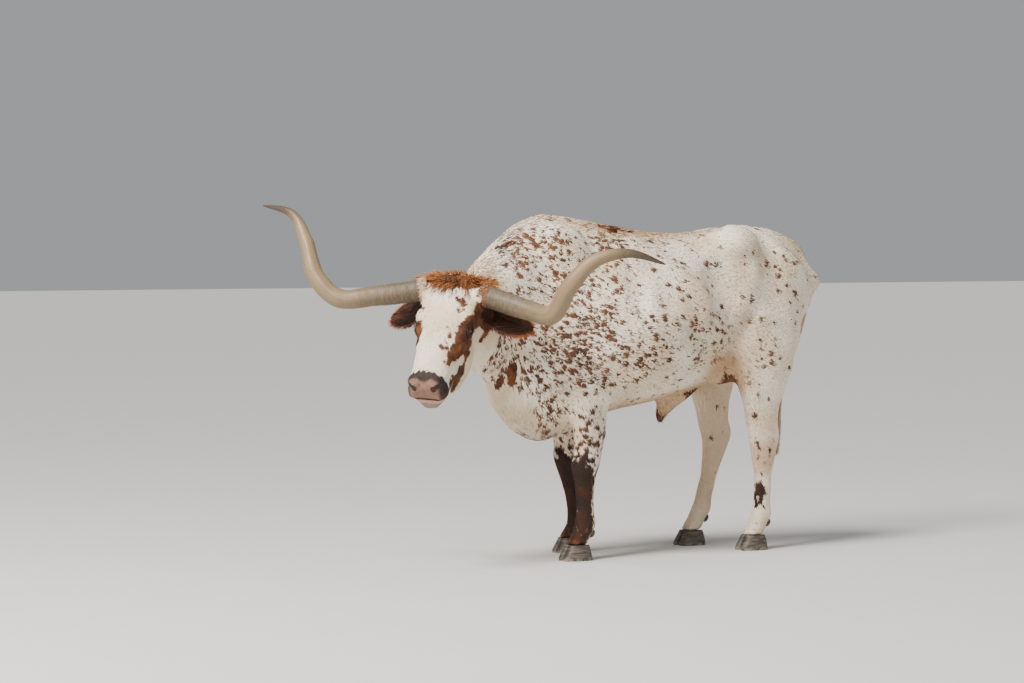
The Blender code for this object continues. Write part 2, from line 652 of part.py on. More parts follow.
def make_body_form(forms):
    """Trunk, neck, legs and sheath run together as one skin, with the neck's own form kept."""
    neck = make_neck(forms)
    kept_neck = copy_of(neck, forms)
    pieces = [make_trunk(forms), neck, make_sheath(forms)]
    for centre, radii, turn in MASSES:
        pieces.append(make_mass("mass", centre, radii, turn, forms))
    for (forward, left, up), radii, turn in PAIRED_MASSES:
        for side in (1, -1):
            pieces.append(make_mass("mass", (forward, side * left, up), radii, turn, forms))
    for name in LEGS:
        pieces.append(make_leg(name, forms))
        if "hind" in name:
            pieces.append(make_hock(name, forms))
    return pieces, kept_neck


def leg_space(name, grow, place):
    """The space under a leg's cut: upright at its sides, sloping up to the outside on top."""
    side = 1 if "left" in name else -1
    joint = LEGS[name][1]
    inner, outer, depth, low, high = LEG_CUT["fore" if "fore" in name else "hind"]
    front, back = joint[0] + depth[0] + grow, joint[0] - depth[1] - grow
    corners = ((inner - grow, BELOW_GROUND), (outer, BELOW_GROUND), (outer, high + grow),
               (inner - grow, low + grow))
    bm = bmesh.new()
    ends = [[bm.verts.new(at(u, side * w, h)) for w, h in corners] for u in (front, back)]
    for row in ends:
        bm.faces.new(row)
    for i in range(4):
        bm.faces.new((ends[0][i], ends[0][(i + 1) % 4], ends[1][(i + 1) % 4], ends[1][i]))
    return object_of(name + "_space", mesh_of(name, bm), place)


def make_flesh(parts, forms):
    """Trunk, neck, head and legs, run together and then parted by thin cuts."""
    pieces, neck = make_body_form(forms)
    head_whole = blended("head_whole", [make_skull(forms)] + make_head_masses(forms) + [neck],
                         HEAD_VOXEL, HEAD_SMOOTHING, forms)
    body_whole = blended("body_whole", pieces + [copy_of(head_whole, forms)], BODY_VOXEL,
                         BODY_SMOOTHING, forms)
    shape_hide(body_whole)
    neck_front, neck_back = neck_cut()
    trunk_front, trunk_back = shoulder_cut()
    feet_plane = (at(0.0, 0.0, CORONET), Vector((0.0, 0.0, -1.0)))
    made = {"head": portion(head_whole, "head", [neck_front], HEAD_TRIANGLES, parts),
            "neck": portion(body_whole, "neck", [neck_back, trunk_back], NECK_TRIANGLES, parts),
            "torso": portion(body_whole, "torso", [trunk_front, feet_plane], TORSO_TRIANGLES, parts)}
    for name in LEGS:
        leg = copy_of(made["torso"], parts)
        leg.name = name
        space = leg_space(name, 0.0, forms)
        made[name] = boolean(leg, space, "INTERSECT")
        bpy.data.objects.remove(space)
    for name in LEGS:
        space = leg_space(name, GAP, forms)
        boolean(made["torso"], space, "DIFFERENCE")
        bpy.data.objects.remove(space)
    bpy.data.objects.remove(head_whole)
    bpy.data.objects.remove(body_whole)
    for name, obj in made.items():
        dress(obj, "hide")
    return made


def make_ball(name, centre, radius, place, segments=14, rings=9):
    bm = bmesh.new()
    bmesh.ops.create_uvsphere(bm, u_segments=segments, v_segments=rings, radius=radius)
    bm.transform(Matrix.Translation(centre))
    return object_of(name, mesh_of(name, bm), place)


def eye_direction(side):
    """Where an eye looks: outwards, a little forward of square."""
    across, along, out = head_axes()[:3]
    return (across * (side * EYE_LOOK[0]) + along * EYE_LOOK[1] + out * EYE_LOOK[2]).normalized()


def make_eye(side, head, parts, forms):
    """An eyeball, its socket in the head, and lids that stand open in an almond."""
    across, along = head_axes()[:2]
    centre = on_head(side * EYE_AT[0], EYE_AT[1], EYE_AT[2])
    look = eye_direction(side)
    lid = make_ball("lid", centre, EYE_RADIUS + LID_THICKNESS, forms)
    boolean(head, lid, "UNION")
    level = (along - look * along.dot(look)).normalized()
    rise = look.cross(level)
    slit = almond("slit", centre, look, level, rise, forms)
    boolean(head, slit, "DIFFERENCE")
    socket = make_ball("socket", centre, EYE_RADIUS + GAP, forms)
    boolean(head, socket, "DIFFERENCE")
    for used in (lid, slit, socket):
        bpy.data.objects.remove(used)
    name = "eye_left" if side > 0 else "eye_right"
    return dress(make_ball(name, centre, EYE_RADIUS, parts), "eye")


def almond(name, centre, look, level, rise, place):
    """A prism whose outline is the opening of the lids."""
    outline = []
    for i in range(LID_SIDES):
        angle = math.tau * i / LID_SIDES
        wide = LID_OPENING[0] * math.cos(angle)
        tall = LID_OPENING[1] * math.sin(angle) * (1.0 - 0.25 * abs(math.cos(angle)))
        outline.append(level * wide + rise * tall)
    rings = [[centre + look * (EYE_RADIUS * depth) + point * spread for point in outline]
             for depth, spread in LID_REACH]
    return loft(name, rings, place)


def cut_nostril(side, head, forms):
    """A hollow that runs in and up from the corner of the muzzle."""
    inward = head_mass("nostril", (side * NOSTRIL_AT[0], NOSTRIL_AT[1], NOSTRIL_AT[2]), NOSTRIL_RADII, forms)
    boolean(head, inward, "DIFFERENCE")
    bpy.data.objects.remove(inward)


def cut_mouth(head, forms):
    """The line of the mouth: a groove round the muzzle, a little open at the front."""
    profile = []
    for down, out, half in MOUTH_LINE:
        profile.append((down, out + half))
    for down, out, half in reversed(MOUTH_LINE):
        profile.append((down, out - half))
    rings = [[on_head(wide, down, out) for down, out in profile] for wide in (-0.12, 0.12)]
    groove = loft("mouth", rings, forms)
    inner = make_skull(forms, MOUTH_DEPTH, CORE_SIDES)
    boolean(groove, inner, "DIFFERENCE")
    boolean(head, groove, "DIFFERENCE")
    for used in (inner, groove):
        bpy.data.objects.remove(used)


def make_ear(side, head, parts, forms):
    """A leaf-shaped ear, cupped forwards and hanging a little to the side."""
    across, along, out = head_axes()[:3]
    root = on_head(side * EAR_ROOT[0], EAR_ROOT[1], EAR_ROOT[2])
    length = (across * (side * EAR_POINT[0]) + along * EAR_POINT[1] + out * EAR_POINT[2]).normalized()
    facing = (out * EAR_FACE[2] + along * EAR_FACE[1] + across * (side * EAR_FACE[0]))
    facing = (facing - length * facing.dot(length)).normalized()
    breadth = length.cross(facing)
    rings = []
    for place, width, cup in EAR_FORM:
        centre = root + length * (place * EAR_LENGTH) - UP * (EAR_DROOP * place * place)
        rings.append(ear_ring(centre, breadth, facing, width * EAR_WIDTH, cup * EAR_CUP))
    name = "ear_left" if side > 0 else "ear_right"
    ear = loft(name, rings, parts)
    trim_clear(ear, head, forms)
    return dress(ear, "ear")


def ear_ring(centre, breadth, facing, half, cup):
    """A crescent: hollow towards the front, rounded behind, with thick rolled edges."""
    outer, inner = [], []
    for i in range(EAR_COLUMNS):
        share = -1.0 + 2.0 * i / (EAR_COLUMNS - 1)
        depth = -cup * (1.0 - share * share)
        thick = EAR_THICK * (1.0 - 0.45 * abs(share))
        spot = centre + breadth * (half * share)
        outer.append(spot + facing * (depth - thick))
        inner.append(spot + facing * (depth + thick * 0.2))
    return outer + inner[::-1]


def horn_centre(points):
    """The horn's centre line as points in the world."""
    across, along, out, ahead, up = head_axes()
    start = on_head(0.0, HORN_ROOT[0], HORN_ROOT[1])
    return [start + across * a + ahead * b + up * c for a, b, c in points]


def tube(name, centres, radii, sides, place):
    """A round rod along a path, with its rings turned as little as possible."""
    rings = []
    side = None
    for i, centre in enumerate(centres):
        ahead = (centres[min(i + 1, len(centres) - 1)] - centres[max(i - 1, 0)]).normalized()
        side = (side or ahead.orthogonal())
        side = (side - ahead * side.dot(ahead)).normalized()
        up = ahead.cross(side)
        rings.append([centre + (side * math.cos(math.tau * k / sides) + up * math.sin(math.tau * k / sides))
                      * radii[i] for k in range(sides)])
    return loft(name, rings, place)


def make_horn(side, head, parts, forms):
    """A long horn, ringed round its base and drawn out to a point."""
    table = HORN_LEFT if side > 0 else HORN_RIGHT
    points = [Vector((side * a, b, c)) for a, b, c in table]
    centres = horn_centre(smooth_path(points, HORN_STEPS))
    radii = []
    for i in range(HORN_STEPS):
        share = i / (HORN_STEPS - 1)
        radii.append(between(HORN_RADII, share)[1])
    ahead = (centres[1] - centres[0]).normalized()
    seat = tube("seat", [centres[0], centres[0] + ahead * HORN_SEAT[1]], [HORN_SEAT[0]] * 2, 24, forms)
    boolean(head, seat, "DIFFERENCE")
    bpy.data.objects.remove(seat)
    centres[0] += ahead * GAP
    name = "horn_left" if side > 0 else "horn_right"
    return dress(tube(name, centres, radii, HORN_SIDES, parts), "horn")


def make_claw(name, leg, side, parts):
    """One claw of a cloven hoof: flat below, sloping in front, upright at the cleft."""
    joint = LEGS[leg][4]
    toe_out = 1 if side > 0 else -1
    rings = []
    for height, front, back, half in CLAW_FORM:
        centre = at(joint[0], joint[1] + toe_out * (CLAW_CLEFT / 2), height)
        ring = []
        for i in range(CLAW_SIDES):
            c, s = rounded(math.tau * i / CLAW_SIDES, CLAW_POWER)
            reach = front if c > 0 else back
            across = half * (1.0 + s)
            lean = CLAW_CLOSE * max(c, 0.0) * half
            ring.append(centre + at(reach * c, toe_out * max(across - lean, CLAW_LEAST), 0.0))
        rings.append(ring)
    return dress(loft(name, rings, parts), "hoof")


def skin_point(obj, start, direction):
    """Where a line that starts outside first meets the object's skin."""
    bm = bmesh.new()
    bm.from_mesh(obj.data)
    tree = BVHTree.FromBMesh(bm)
    bm.free()
    return tree.ray_cast(start, direction)[0]


def make_dewclaw(name, leg_name, leg, side, parts, forms):
    """A small horny knob behind the fetlock, set in the leg's skin."""
    joint = LEGS[leg_name][3]
    behind, beside, below = DEWCLAW_AT
    start = at(joint[0] - behind, joint[1] + side * beside, joint[2] - below)
    place = skin_point(leg, start, at(1.0, 0.0, 0.0))
    bm = bmesh.new()
    bmesh.ops.create_uvsphere(bm, u_segments=7, v_segments=5, radius=1.0)
    lean = Matrix.Rotation(math.radians(DEWCLAW_LEAN), 4, "Y")
    bm.transform(Matrix.Translation(place) @ lean @ Matrix.Diagonal((*DEWCLAW_RADII, 1.0)))
    claw = object_of(name, mesh_of(name, bm), parts)
    socket = swollen(claw, "socket", GAP, forms)
    boolean(leg, socket, "DIFFERENCE")
    bpy.data.objects.remove(socket)
    return dress(claw, "hoof")


def make_tail(torso, parts, forms):
    """The tail, from its root on the rump to a switch that hangs at the hocks."""
    centres = smooth_path([at(*point) for point in TAIL_PATH], TAIL_STEPS)
    radii = [value.x for value in smooth_path([Vector((r, 0, 0)) for r in TAIL_RADII], TAIL_STEPS)]
    tail = tube("tail", centres, radii, TAIL_SIDES, parts)
    core = [value.x for value in smooth_path([Vector((r, 0, 0)) for r in SWITCH_RADII], SWITCH_STEPS)]
    switch = tube("switch", smooth_path([at(*point) for point in SWITCH_PATH], SWITCH_STEPS), core,
                  TAIL_SIDES, forms)
    boolean(tail, switch, "UNION")
    bpy.data.objects.remove(switch)
    trim_clear(tail, torso, forms)
    return add_switch(tail, forms)


def make_lock(centres, side, flat, half, place):
    """A flat lock of hair: a closed strip of four sides that tapers to its tip."""
    rings = []
    for centre, (_, share) in zip(centres, LOCK_TAPER):
        wide, thick = side * (half[0] * share), flat * (half[1] * share)
        rings.append([centre + wide, centre + thick, centre - wide, centre - thick])
    return loft("lock", rings, place)


def bent_lock(root, lean, fall, length, across, half, place):
    """A lock that leaves its root along one direction and bends towards another."""
    centres = []
    for share, _ in LOCK_TAPER:
        reach = share * length if share >= 0.0 else -LOCK_SUNK
        centres.append(root + lean * reach + fall * (length * max(share, 0.0) ** 2))
    side = (across - lean * across.dot(lean)).normalized()
    return make_lock(centres, side, lean.cross(side), half, place)


def join_locks(obj, locks):
    """One union of a node with all its locks."""
    boolean(obj, locks, "UNION", "MANIFOLD")
    for lock in list(locks.objects):
        bpy.data.objects.remove(lock)
    bpy.data.collections.remove(locks)
    return obj


def add_tuft(head, horns, forms):
    """The tuft on the poll, in rows that stand up behind and fall over the forehead in front."""
    across, along, out = head_axes()[:3]
    draw = random.Random(SEED)
    locks = collection_of("TuftLocks")
    for down, high, lean_down, lean_out, fall, length, spread, count in TUFT_ROWS:
        for i in range(count):
            share = -1.0 + 2.0 * (i + 0.5) / count + draw.uniform(-0.5, 0.5) / count
            arch = 1.0 - 0.30 * share * share
            root = on_head(spread * share, down + draw.uniform(-0.006, 0.006), high - 0.010 * share * share)
            lean = (across * (TUFT_SPLAY * share + draw.uniform(-0.15, 0.15)) + along * lean_down
                    + out * (lean_out * arch)).normalized()
            droop = (along * fall + across * (0.25 * share) - out * (0.35 * fall)) * draw.uniform(0.5, 0.9)
            size = length * arch * draw.uniform(0.85, 1.15)
            half = (TUFT_LOCK[0] * draw.uniform(0.85, 1.15), TUFT_LOCK[1])
            bent_lock(root, lean, droop, size, across + along * draw.uniform(-0.4, 0.4), half, locks)
    join_locks(head, locks)
    for horn in horns:
        space = swollen(horn, "horn_space", GAP * 0.9, forms)
        boolean(head, space, "DIFFERENCE")
        bpy.data.objects.remove(space)
    return dress(head, "hide")


def add_switch(tail, forms):
    """The switch: locks set round the tail's end that hang down and draw together."""
    draw = random.Random(SEED)
    locks = collection_of("SwitchLocks")
    path = smooth_path([at(*point) for point in SWITCH_PATH], 40)
    for i in range(SWITCH_LOCKS):
        share = i / (SWITCH_LOCKS - 1)
        angle = i * math.radians(137.5)
        outward = Vector((math.cos(angle), math.sin(angle), 0.0))
        top = SWITCH_TOP - SWITCH_FALL * share
        start = min(path, key=lambda point: abs(point.z - top))
        end = min(path, key=lambda point: abs(point.z - (top - SWITCH_REACH)))
        root = start + outward * 0.008
        lean = (end - start + outward * SWITCH_SPREAD).normalized()
        fall = outward * (-0.06 + draw.uniform(-0.05, 0.05))
        half = (SWITCH_LOCK[0] * draw.uniform(0.85, 1.2), SWITCH_LOCK[1])
        bent_lock(root, lean, fall, SWITCH_REACH * draw.uniform(0.85, 1.1), outward.cross(lean), half, locks)
    return dress(join_locks(tail, locks), "tail")


def settle(parts):
    """Moves the whole animal so that its box stands on the ground, centred on the origin."""
    points = [obj.matrix_world @ v.co for obj in parts.objects for v in obj.data.vertices]
    middle = [(min(p[k] for p in points) + max(p[k] for p in points)) / 2 for k in range(2)]
    shift = Matrix.Translation((-middle[0], -middle[1], -min(p.z for p in points)))
    for obj in parts.objects:
        obj.data.transform(shift)


def hide_forms(forms):
    """Keeps construction forms out of any picture."""
    forms.hide_render = True
    for obj in forms.objects:
        obj.display_type = "WIRE"


def main():
    """Builds the flesh first, then what is cut into it or set on it."""
    clear_scene()
    parts = collection_of("Longhorn")
    forms = collection_of("Cutters")
    made = make_flesh(parts, forms)
    head = made["head"]
    cut_mouth(head, forms)
    for side in (1, -1):
        cut_nostril(side, head, forms)
        make_eye(side, head, parts, forms)
    horns = []
    for side in (1, -1):
        horns.append(make_horn(side, head, parts, forms))
        make_ear(side, head, parts, forms)
    add_tuft(head, horns, forms)
    for leg, short in (("foreleg_left", "fore_left"), ("foreleg_right", "fore_right"),
                       ("hindleg_left", "hind_left"), ("hindleg_right", "hind_right")):
        outward = 1 if "left" in leg else -1
        for side, which in ((outward, "outer"), (-outward, "inner")):
            make_claw("claw_" + short + "_" + which, leg, side, parts)
            make_dewclaw("dewclaw_" + short + "_" + which, leg, made[leg], side, parts, forms)
    make_tail(made["torso"], parts, forms)
    hide_forms(forms)
    settle(parts)


main()
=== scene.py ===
"""The looks of a Texas longhorn steer that stands with its head turned to its left.

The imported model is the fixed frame. One skin takes the place of its flesh, and a coat of fine
tufts, longer locks, horns, ears, eyes and hooves are built over it. Forms are set out as in the
solids: so far forward of the pin bones, so far to the animal's left, and so high above the
ground, or in the head's own axes from the poll: across to its left, down the face and out from it.
"""

from __future__ import annotations

import logging
import math
from dataclasses import dataclass
from enum import Enum

import bmesh
import bpy
import numpy as np
from bpy.types import Material, Mesh, Node, NodeSocket, NodeTree, Object
from mathutils import Matrix, Vector
from mathutils.kdtree import KDTree

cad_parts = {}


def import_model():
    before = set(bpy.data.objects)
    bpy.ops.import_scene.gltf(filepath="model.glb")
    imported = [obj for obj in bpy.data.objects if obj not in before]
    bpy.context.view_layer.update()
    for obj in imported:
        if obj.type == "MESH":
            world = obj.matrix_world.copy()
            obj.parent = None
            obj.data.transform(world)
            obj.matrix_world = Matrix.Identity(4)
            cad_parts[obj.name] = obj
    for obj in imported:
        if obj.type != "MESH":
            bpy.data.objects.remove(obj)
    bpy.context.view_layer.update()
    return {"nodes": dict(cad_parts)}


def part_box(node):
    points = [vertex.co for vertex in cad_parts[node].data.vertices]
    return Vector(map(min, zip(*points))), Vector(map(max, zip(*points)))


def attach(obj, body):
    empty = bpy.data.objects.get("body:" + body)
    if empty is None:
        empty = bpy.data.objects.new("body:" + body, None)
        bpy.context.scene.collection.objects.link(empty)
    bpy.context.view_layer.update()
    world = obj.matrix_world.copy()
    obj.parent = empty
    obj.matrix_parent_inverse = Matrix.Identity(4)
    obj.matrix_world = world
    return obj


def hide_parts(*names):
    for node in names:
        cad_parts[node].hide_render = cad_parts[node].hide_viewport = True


LOG = logging.getLogger("longhorn")
BAKE_MAP = "OFBake"
PATCH = 0.003                     # side of a tuft's patch on the unwrap
SEED = 5
FAR = 9.0                         # farther than anything on the animal
SIDES = (1, -1)                   # left and right

FLESH = ("head", "neck", "torso", "foreleg_left", "foreleg_right", "hindleg_left", "hindleg_right")
LEG_NAMES = ("fore_left", "fore_right", "hind_left", "hind_right")

# Joints of each leg from the top down, each so far forward, left and up.
LEG_JOINTS = {
    "fore_left": ((1.228, 0.185, 0.735), (1.262, 0.172, 0.425),
                  (1.262, 0.165, 0.140), (1.305, 0.165, 0.068)),
    "fore_right": ((1.155, -0.180, 0.735), (1.155, -0.160, 0.425),
                   (1.108, -0.148, 0.140), (1.152, -0.148, 0.068)),
    "hind_left": ((0.378, 0.185, 0.830), (0.306, 0.172, 0.470),
                  (0.326, 0.165, 0.145), (0.372, 0.165, 0.068)),
    "hind_right": ((0.420, -0.185, 0.830), (0.335, -0.172, 0.470),
                   (0.445, -0.160, 0.145), (0.495, -0.160, 0.068)),
}


class Slot(str, Enum):
    """The record's material slots."""

    HIDE = "hide"
    HORN = "horn"
    EAR = "ear"
    EYE = "eye"
    HOOF = "hoof"
    TAIL = "tail"


class Channel(Enum):
    """What a patch of marking adds to, as columns of the marks that the coat's finish reads."""

    FLECKS = 0
    BROWN = 1
    DARK = 2
    TAN = 3


FLECKS, BROWN, DARK, TAN = (channel.value for channel in Channel)
DEEP = 0                          # the one column of marks that a lock's finish reads


def side_name(side: int) -> str:
    """The word for a side, which is 1 on the animal's left and -1 on its right."""
    return "left" if side > 0 else "right"


def unit(rows: np.ndarray) -> np.ndarray:
    """Rows made one long."""
    return rows / np.maximum(np.linalg.norm(rows, axis=-1, keepdims=True), 1e-9)


def ramp(values: np.ndarray, low: float, high: float) -> np.ndarray:
    """A smooth step from 0 at low to 1 at high, either way round."""
    share = np.clip((values - low) / (high - low), 0.0, 1.0)
    return share * share * (3.0 - 2.0 * share)


def curve(points: tuple, count: int) -> np.ndarray:
    """A smooth curve through points of any dimension.

    Args:
        points: rows that the curve passes through.
        count: how many rows to return, evenly spaced in the parameter.

    Returns:
        An array of count rows.
    """
    rows = np.asarray(points, float)
    last = len(rows) - 1
    places = np.linspace(0.0, last, count)
    index = np.minimum(places.astype(int), last - 1)
    t = (places - index)[:, None]
    p0, p1 = rows[np.maximum(index - 1, 0)], rows[index]
    p2, p3 = rows[index + 1], rows[np.minimum(index + 2, last)]
    return 0.5 * (2 * p1 + (p2 - p0) * t + (2 * p0 - 5 * p1 + 4 * p2 - p3) * t ** 2
                  + (3 * p1 - p0 - 3 * p2 + p3) * t ** 3)


def swirl(points: np.ndarray, scale: float, seed: int) -> np.ndarray:
    """Smooth noise from crossed waves, about -1 to 1, at so many waves a metre."""
    draw = np.random.default_rng(seed)
    total = np.zeros(len(points))
    for _ in range(6):
        direction = unit(draw.normal(size=3)) * scale * math.tau * draw.uniform(0.6, 1.4)
        total += np.sin(points @ direction + draw.uniform(0.0, math.tau))
    return total / 3.0


@dataclass(frozen=True)
class Frame:
    """The animal's own axes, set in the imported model's frame."""

    shift: np.ndarray
    poll: tuple = (1.925, 0.175, 1.238)
    yaw: float = math.radians(42.0)
    pitch: float = math.radians(38.0)
    roll: float = math.radians(3.5)
    eye: tuple = (0.106, 0.224, -0.061)

    @classmethod
    def from_model(cls) -> Frame:
        """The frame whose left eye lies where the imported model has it."""
        low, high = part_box("eye_left")
        blank = cls(np.zeros(3))
        return cls(np.array((low + high) / 2) - blank.on_head(np.array(blank.eye)))

    def at(self, places: np.ndarray) -> np.ndarray:
        """Model points of places forward, left and up from under the pin bones."""
        places = np.asarray(places, float)
        return places * np.array((-1.0, -1.0, 1.0)) + self.shift

    def places(self, points: np.ndarray) -> np.ndarray:
        """How far model points lie forward, left and up."""
        return (points - self.shift) * np.array((-1.0, -1.0, 1.0))

    def axes(self) -> np.ndarray:
        """The head's axes as rows: to its left, down its face and out from its face."""
        ahead = np.array((-math.cos(self.yaw), -math.sin(self.yaw), 0.0))
        left = np.array((math.sin(self.yaw), -math.cos(self.yaw), 0.0))
        up = np.array((0.0, 0.0, 1.0))
        leaned_left = left * math.cos(self.roll) - up * math.sin(self.roll)
        leaned_up = up * math.cos(self.roll) + left * math.sin(self.roll)
        outward = ahead * math.cos(self.pitch) + leaned_up * math.sin(self.pitch)
        down = ahead * math.sin(self.pitch) - leaned_up * math.cos(self.pitch)
        return np.array((leaned_left, down, outward))

    def level_axes(self) -> np.ndarray:
        """Rows across the head, level ahead of it and up, for what grows from its side."""
        ahead = np.array((-math.cos(self.yaw), -math.sin(self.yaw), 0.0))
        left, down, outward = self.axes()
        upright = outward * math.sin(self.pitch) - down * math.cos(self.pitch)
        return np.array((left, ahead, upright))

    def on_head(self, places: np.ndarray) -> np.ndarray:
        """Model points of places in the head's axes."""
        return self.at(np.array(self.poll)) + np.asarray(places, float) @ self.axes()

    def head(self, points: np.ndarray) -> np.ndarray:
        """Model points in the head's axes."""
        return (points - self.at(np.array(self.poll))) @ self.axes().T


def object_of(name: str, data: bpy.types.ID) -> Object:
    """A new object in the scene, with a mesh, a camera or a lamp."""
    made = bpy.data.objects.new(name, data)
    bpy.context.scene.collection.objects.link(made)
    return made


def mesh_from(name: str, points: np.ndarray, faces: list) -> Object:
    """An object from points and faces, with its faces turned outwards."""
    mesh = bpy.data.meshes.new(name)
    mesh.from_pydata([tuple(p) for p in points], [], faces)
    bm = bmesh.new()
    bm.from_mesh(mesh)
    bmesh.ops.recalc_face_normals(bm, faces=bm.faces)
    bm.to_mesh(mesh)
    bm.free()
    return object_of(name, mesh)


def loft(name: str, rings: np.ndarray) -> Object:
    """A closed skin over rings of points.

    Args:
        name: the object's name.
        rings: points as rings by points by three.

    Returns:
        The new object.
    """
    count, sides = rings.shape[:2]
    points = np.concatenate([rings.reshape(-1, 3), rings[[0, -1]].mean(axis=1)])
    faces = []
    for i in range(count - 1):
        for k in range(sides):
            a, b = i * sides + k, i * sides + (k + 1) % sides
            faces.append((a, b, b + sides, a + sides))
    for first, middle in ((0, count * sides), ((count - 1) * sides, count * sides + 1)):
        faces += [(first + k, first + (k + 1) % sides, middle) for k in range(sides)]
    return mesh_from(name, points, faces)


def tube_rings(centres: np.ndarray, radii: np.ndarray, sides: int) -> np.ndarray:
    """Round rings along a path, turned as little as possible.

    Args:
        centres: points along the path.
        radii: the radius at each.
        sides: points in a ring.

    Returns:
        The points, as rings by points by three.
    """
    ahead = unit(np.gradient(centres, axis=0))
    side = np.cross(ahead[0], (0.3, 0.2, 1.0))
    angles = np.linspace(0.0, math.tau, sides, endpoint=False)[:, None]
    rings = []
    for centre, along, radius in zip(centres, ahead, radii):
        side = side - along * (side @ along)
        side = side / np.linalg.norm(side)
        rings.append(centre + (np.cos(angles) * side + np.sin(angles) * np.cross(along, side)) * radius)
    return np.array(rings)


def egg(sizes: tuple, count: int) -> np.ndarray:
    """A ring in its own plane, across and up.

    Args:
        sizes: half width, reach above and below the widest place, squareness above and below.
        count: number of points.

    Returns:
        An array of count rows of across and up.
    """
    half, above, below, top_power, low_power = sizes
    angles = np.linspace(0.0, math.tau, count, endpoint=False)
    c, s = np.cos(angles), np.sin(angles)
    power = np.where(s >= 0.0, top_power, low_power)
    across = np.sign(c) * np.abs(c) ** (2.0 / power) * half
    up = np.sign(s) * np.abs(s) ** (2.0 / power) * np.where(s >= 0.0, above, below)
    return np.stack([across, up], axis=1)


def ball(name: str, centre: np.ndarray, radii: tuple, axes: np.ndarray, cuts: int = 40) -> Object:
    """An ellipsoid along the given axes.

    Args:
        name: the object's name.
        centre: its middle.
        radii: its radii along the axes.
        axes: rows that are one long.
        cuts: how many segments it has round.

    Returns:
        The new object.
    """
    bm = bmesh.new()
    bmesh.ops.create_uvsphere(bm, u_segments=cuts, v_segments=cuts // 2, radius=1.0)
    turn = Matrix([list(row) for row in axes]).transposed().to_4x4()
    bm.transform(Matrix.Translation(Vector(centre)) @ turn @ Matrix.Diagonal((*radii, 1.0)))
    bmesh.ops.recalc_face_normals(bm, faces=bm.faces)
    mesh = bpy.data.meshes.new(name)
    bm.to_mesh(mesh)
    bm.free()
    return object_of(name, mesh)


def coordinates(mesh: Mesh) -> np.ndarray:
    """The mesh's points."""
    found = np.zeros(len(mesh.vertices) * 3)
    mesh.vertices.foreach_get("co", found)
    return found.reshape(-1, 3)


def normals(mesh: Mesh) -> np.ndarray:
    """The mesh's normals at its points."""
    found = np.zeros(len(mesh.vertices) * 3)
    mesh.vertices.foreach_get("normal", found)
    return found.reshape(-1, 3)


def set_coordinates(mesh: Mesh, points: np.ndarray) -> None:
    """Moves the mesh's points."""
    mesh.vertices.foreach_set("co", points.ravel())
    mesh.update()


def baked(obj: Object) -> Object:
    """The object with its modifiers applied."""
    graph = bpy.context.evaluated_depsgraph_get()
    mesh = bpy.data.meshes.new_from_object(obj.evaluated_get(graph))
    obj.modifiers.clear()
    obj.data = mesh
    return obj


def merged(name: str, pieces: list) -> Object:
    """The pieces as one object.

    Args:
        name: the new object's name.
        pieces: objects, which are removed.

    Returns:
        The new object.
    """
    bm = bmesh.new()
    for piece in pieces:
        bm.from_mesh(piece.data)
    mesh = bpy.data.meshes.new(name)
    bm.to_mesh(mesh)
    bm.free()
    for piece in pieces:
        bpy.data.objects.remove(piece)
    return object_of(name, mesh)


def remeshed(obj: Object, voxel: float, smoothing: int) -> Object:
    """The object as one closed skin of even faces, smoothed.

    Args:
        obj: the object.
        voxel: the side of its new faces.
        smoothing: how many times it is smoothed.

    Returns:
        The object.
    """
    remesh = obj.modifiers.new("Remesh", "REMESH")
    remesh.mode = "VOXEL"
    remesh.voxel_size = voxel
    smooth = obj.modifiers.new("Smooth", "SMOOTH")
    smooth.factor = 0.6
    smooth.iterations = smoothing
    return baked(obj)


def cut(obj: Object, tool: Object, operation: str = "DIFFERENCE") -> None:
    """Cuts the object with a tool, or joins the two, and removes the tool.

    Args:
        obj: what is cut.
        tool: what it is cut with.
        operation: the boolean's name.
    """
    modifier = obj.modifiers.new("Cut", "BOOLEAN")
    modifier.operation = operation
    modifier.solver = "MANIFOLD"
    modifier.object = tool
    baked(obj)
    bpy.data.objects.remove(tool)


def store(mesh: Mesh, name: str, values: np.ndarray) -> None:
    """Keeps a number, a vector or a colour for each of the mesh's points.

    Args:
        mesh: the mesh.
        name: the attribute's name.
        values: a row, or a single number, for each point.
    """
    kinds = {1: ("FLOAT", "value"), 3: ("FLOAT_VECTOR", "vector"), 4: ("FLOAT_COLOR", "color")}
    kind, key = kinds[1 if values.ndim == 1 else values.shape[1]]
    layer = mesh.attributes.new(name, kind, "POINT")
    layer.data.foreach_set(key, values.astype(np.float32).ravel())


def store_coat(mesh: Mesh, marks: np.ndarray, bare: np.ndarray, tone: np.ndarray) -> None:
    """Keeps what the skin's finish reads.

    Args:
        mesh: a skin, an ear's leaf or the tail.
        marks: flecks, brown, dark and tan at each point.
        bare: how bare each point is.
        tone: for bare skin, how grey and how pink it is, with painted shade and a painted highlight in the
            grey.
    """
    store(mesh, "root", coordinates(mesh))
    store(mesh, "marks", marks)
    store(mesh, "bare", bare)
    store(mesh, "bare_tone_and_painted_light", tone)


def finish_piece(obj: Object, material: Material, slot: Slot, *nodes: str) -> Object:
    """Dresses a piece and sets it on the model.

    Args:
        obj: the piece.
        material: its finish.
        slot: not used.
        nodes: solids that it takes the place of.

    Returns:
        The piece.
    """
    obj.data.materials.clear()
    obj.data.materials.append(material)
    obj.data.shade_smooth()
    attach(obj, "root")
    if nodes:
        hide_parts(*nodes)
    LOG.info("%s: %d faces", obj.name, len(obj.data.polygons))
    return obj


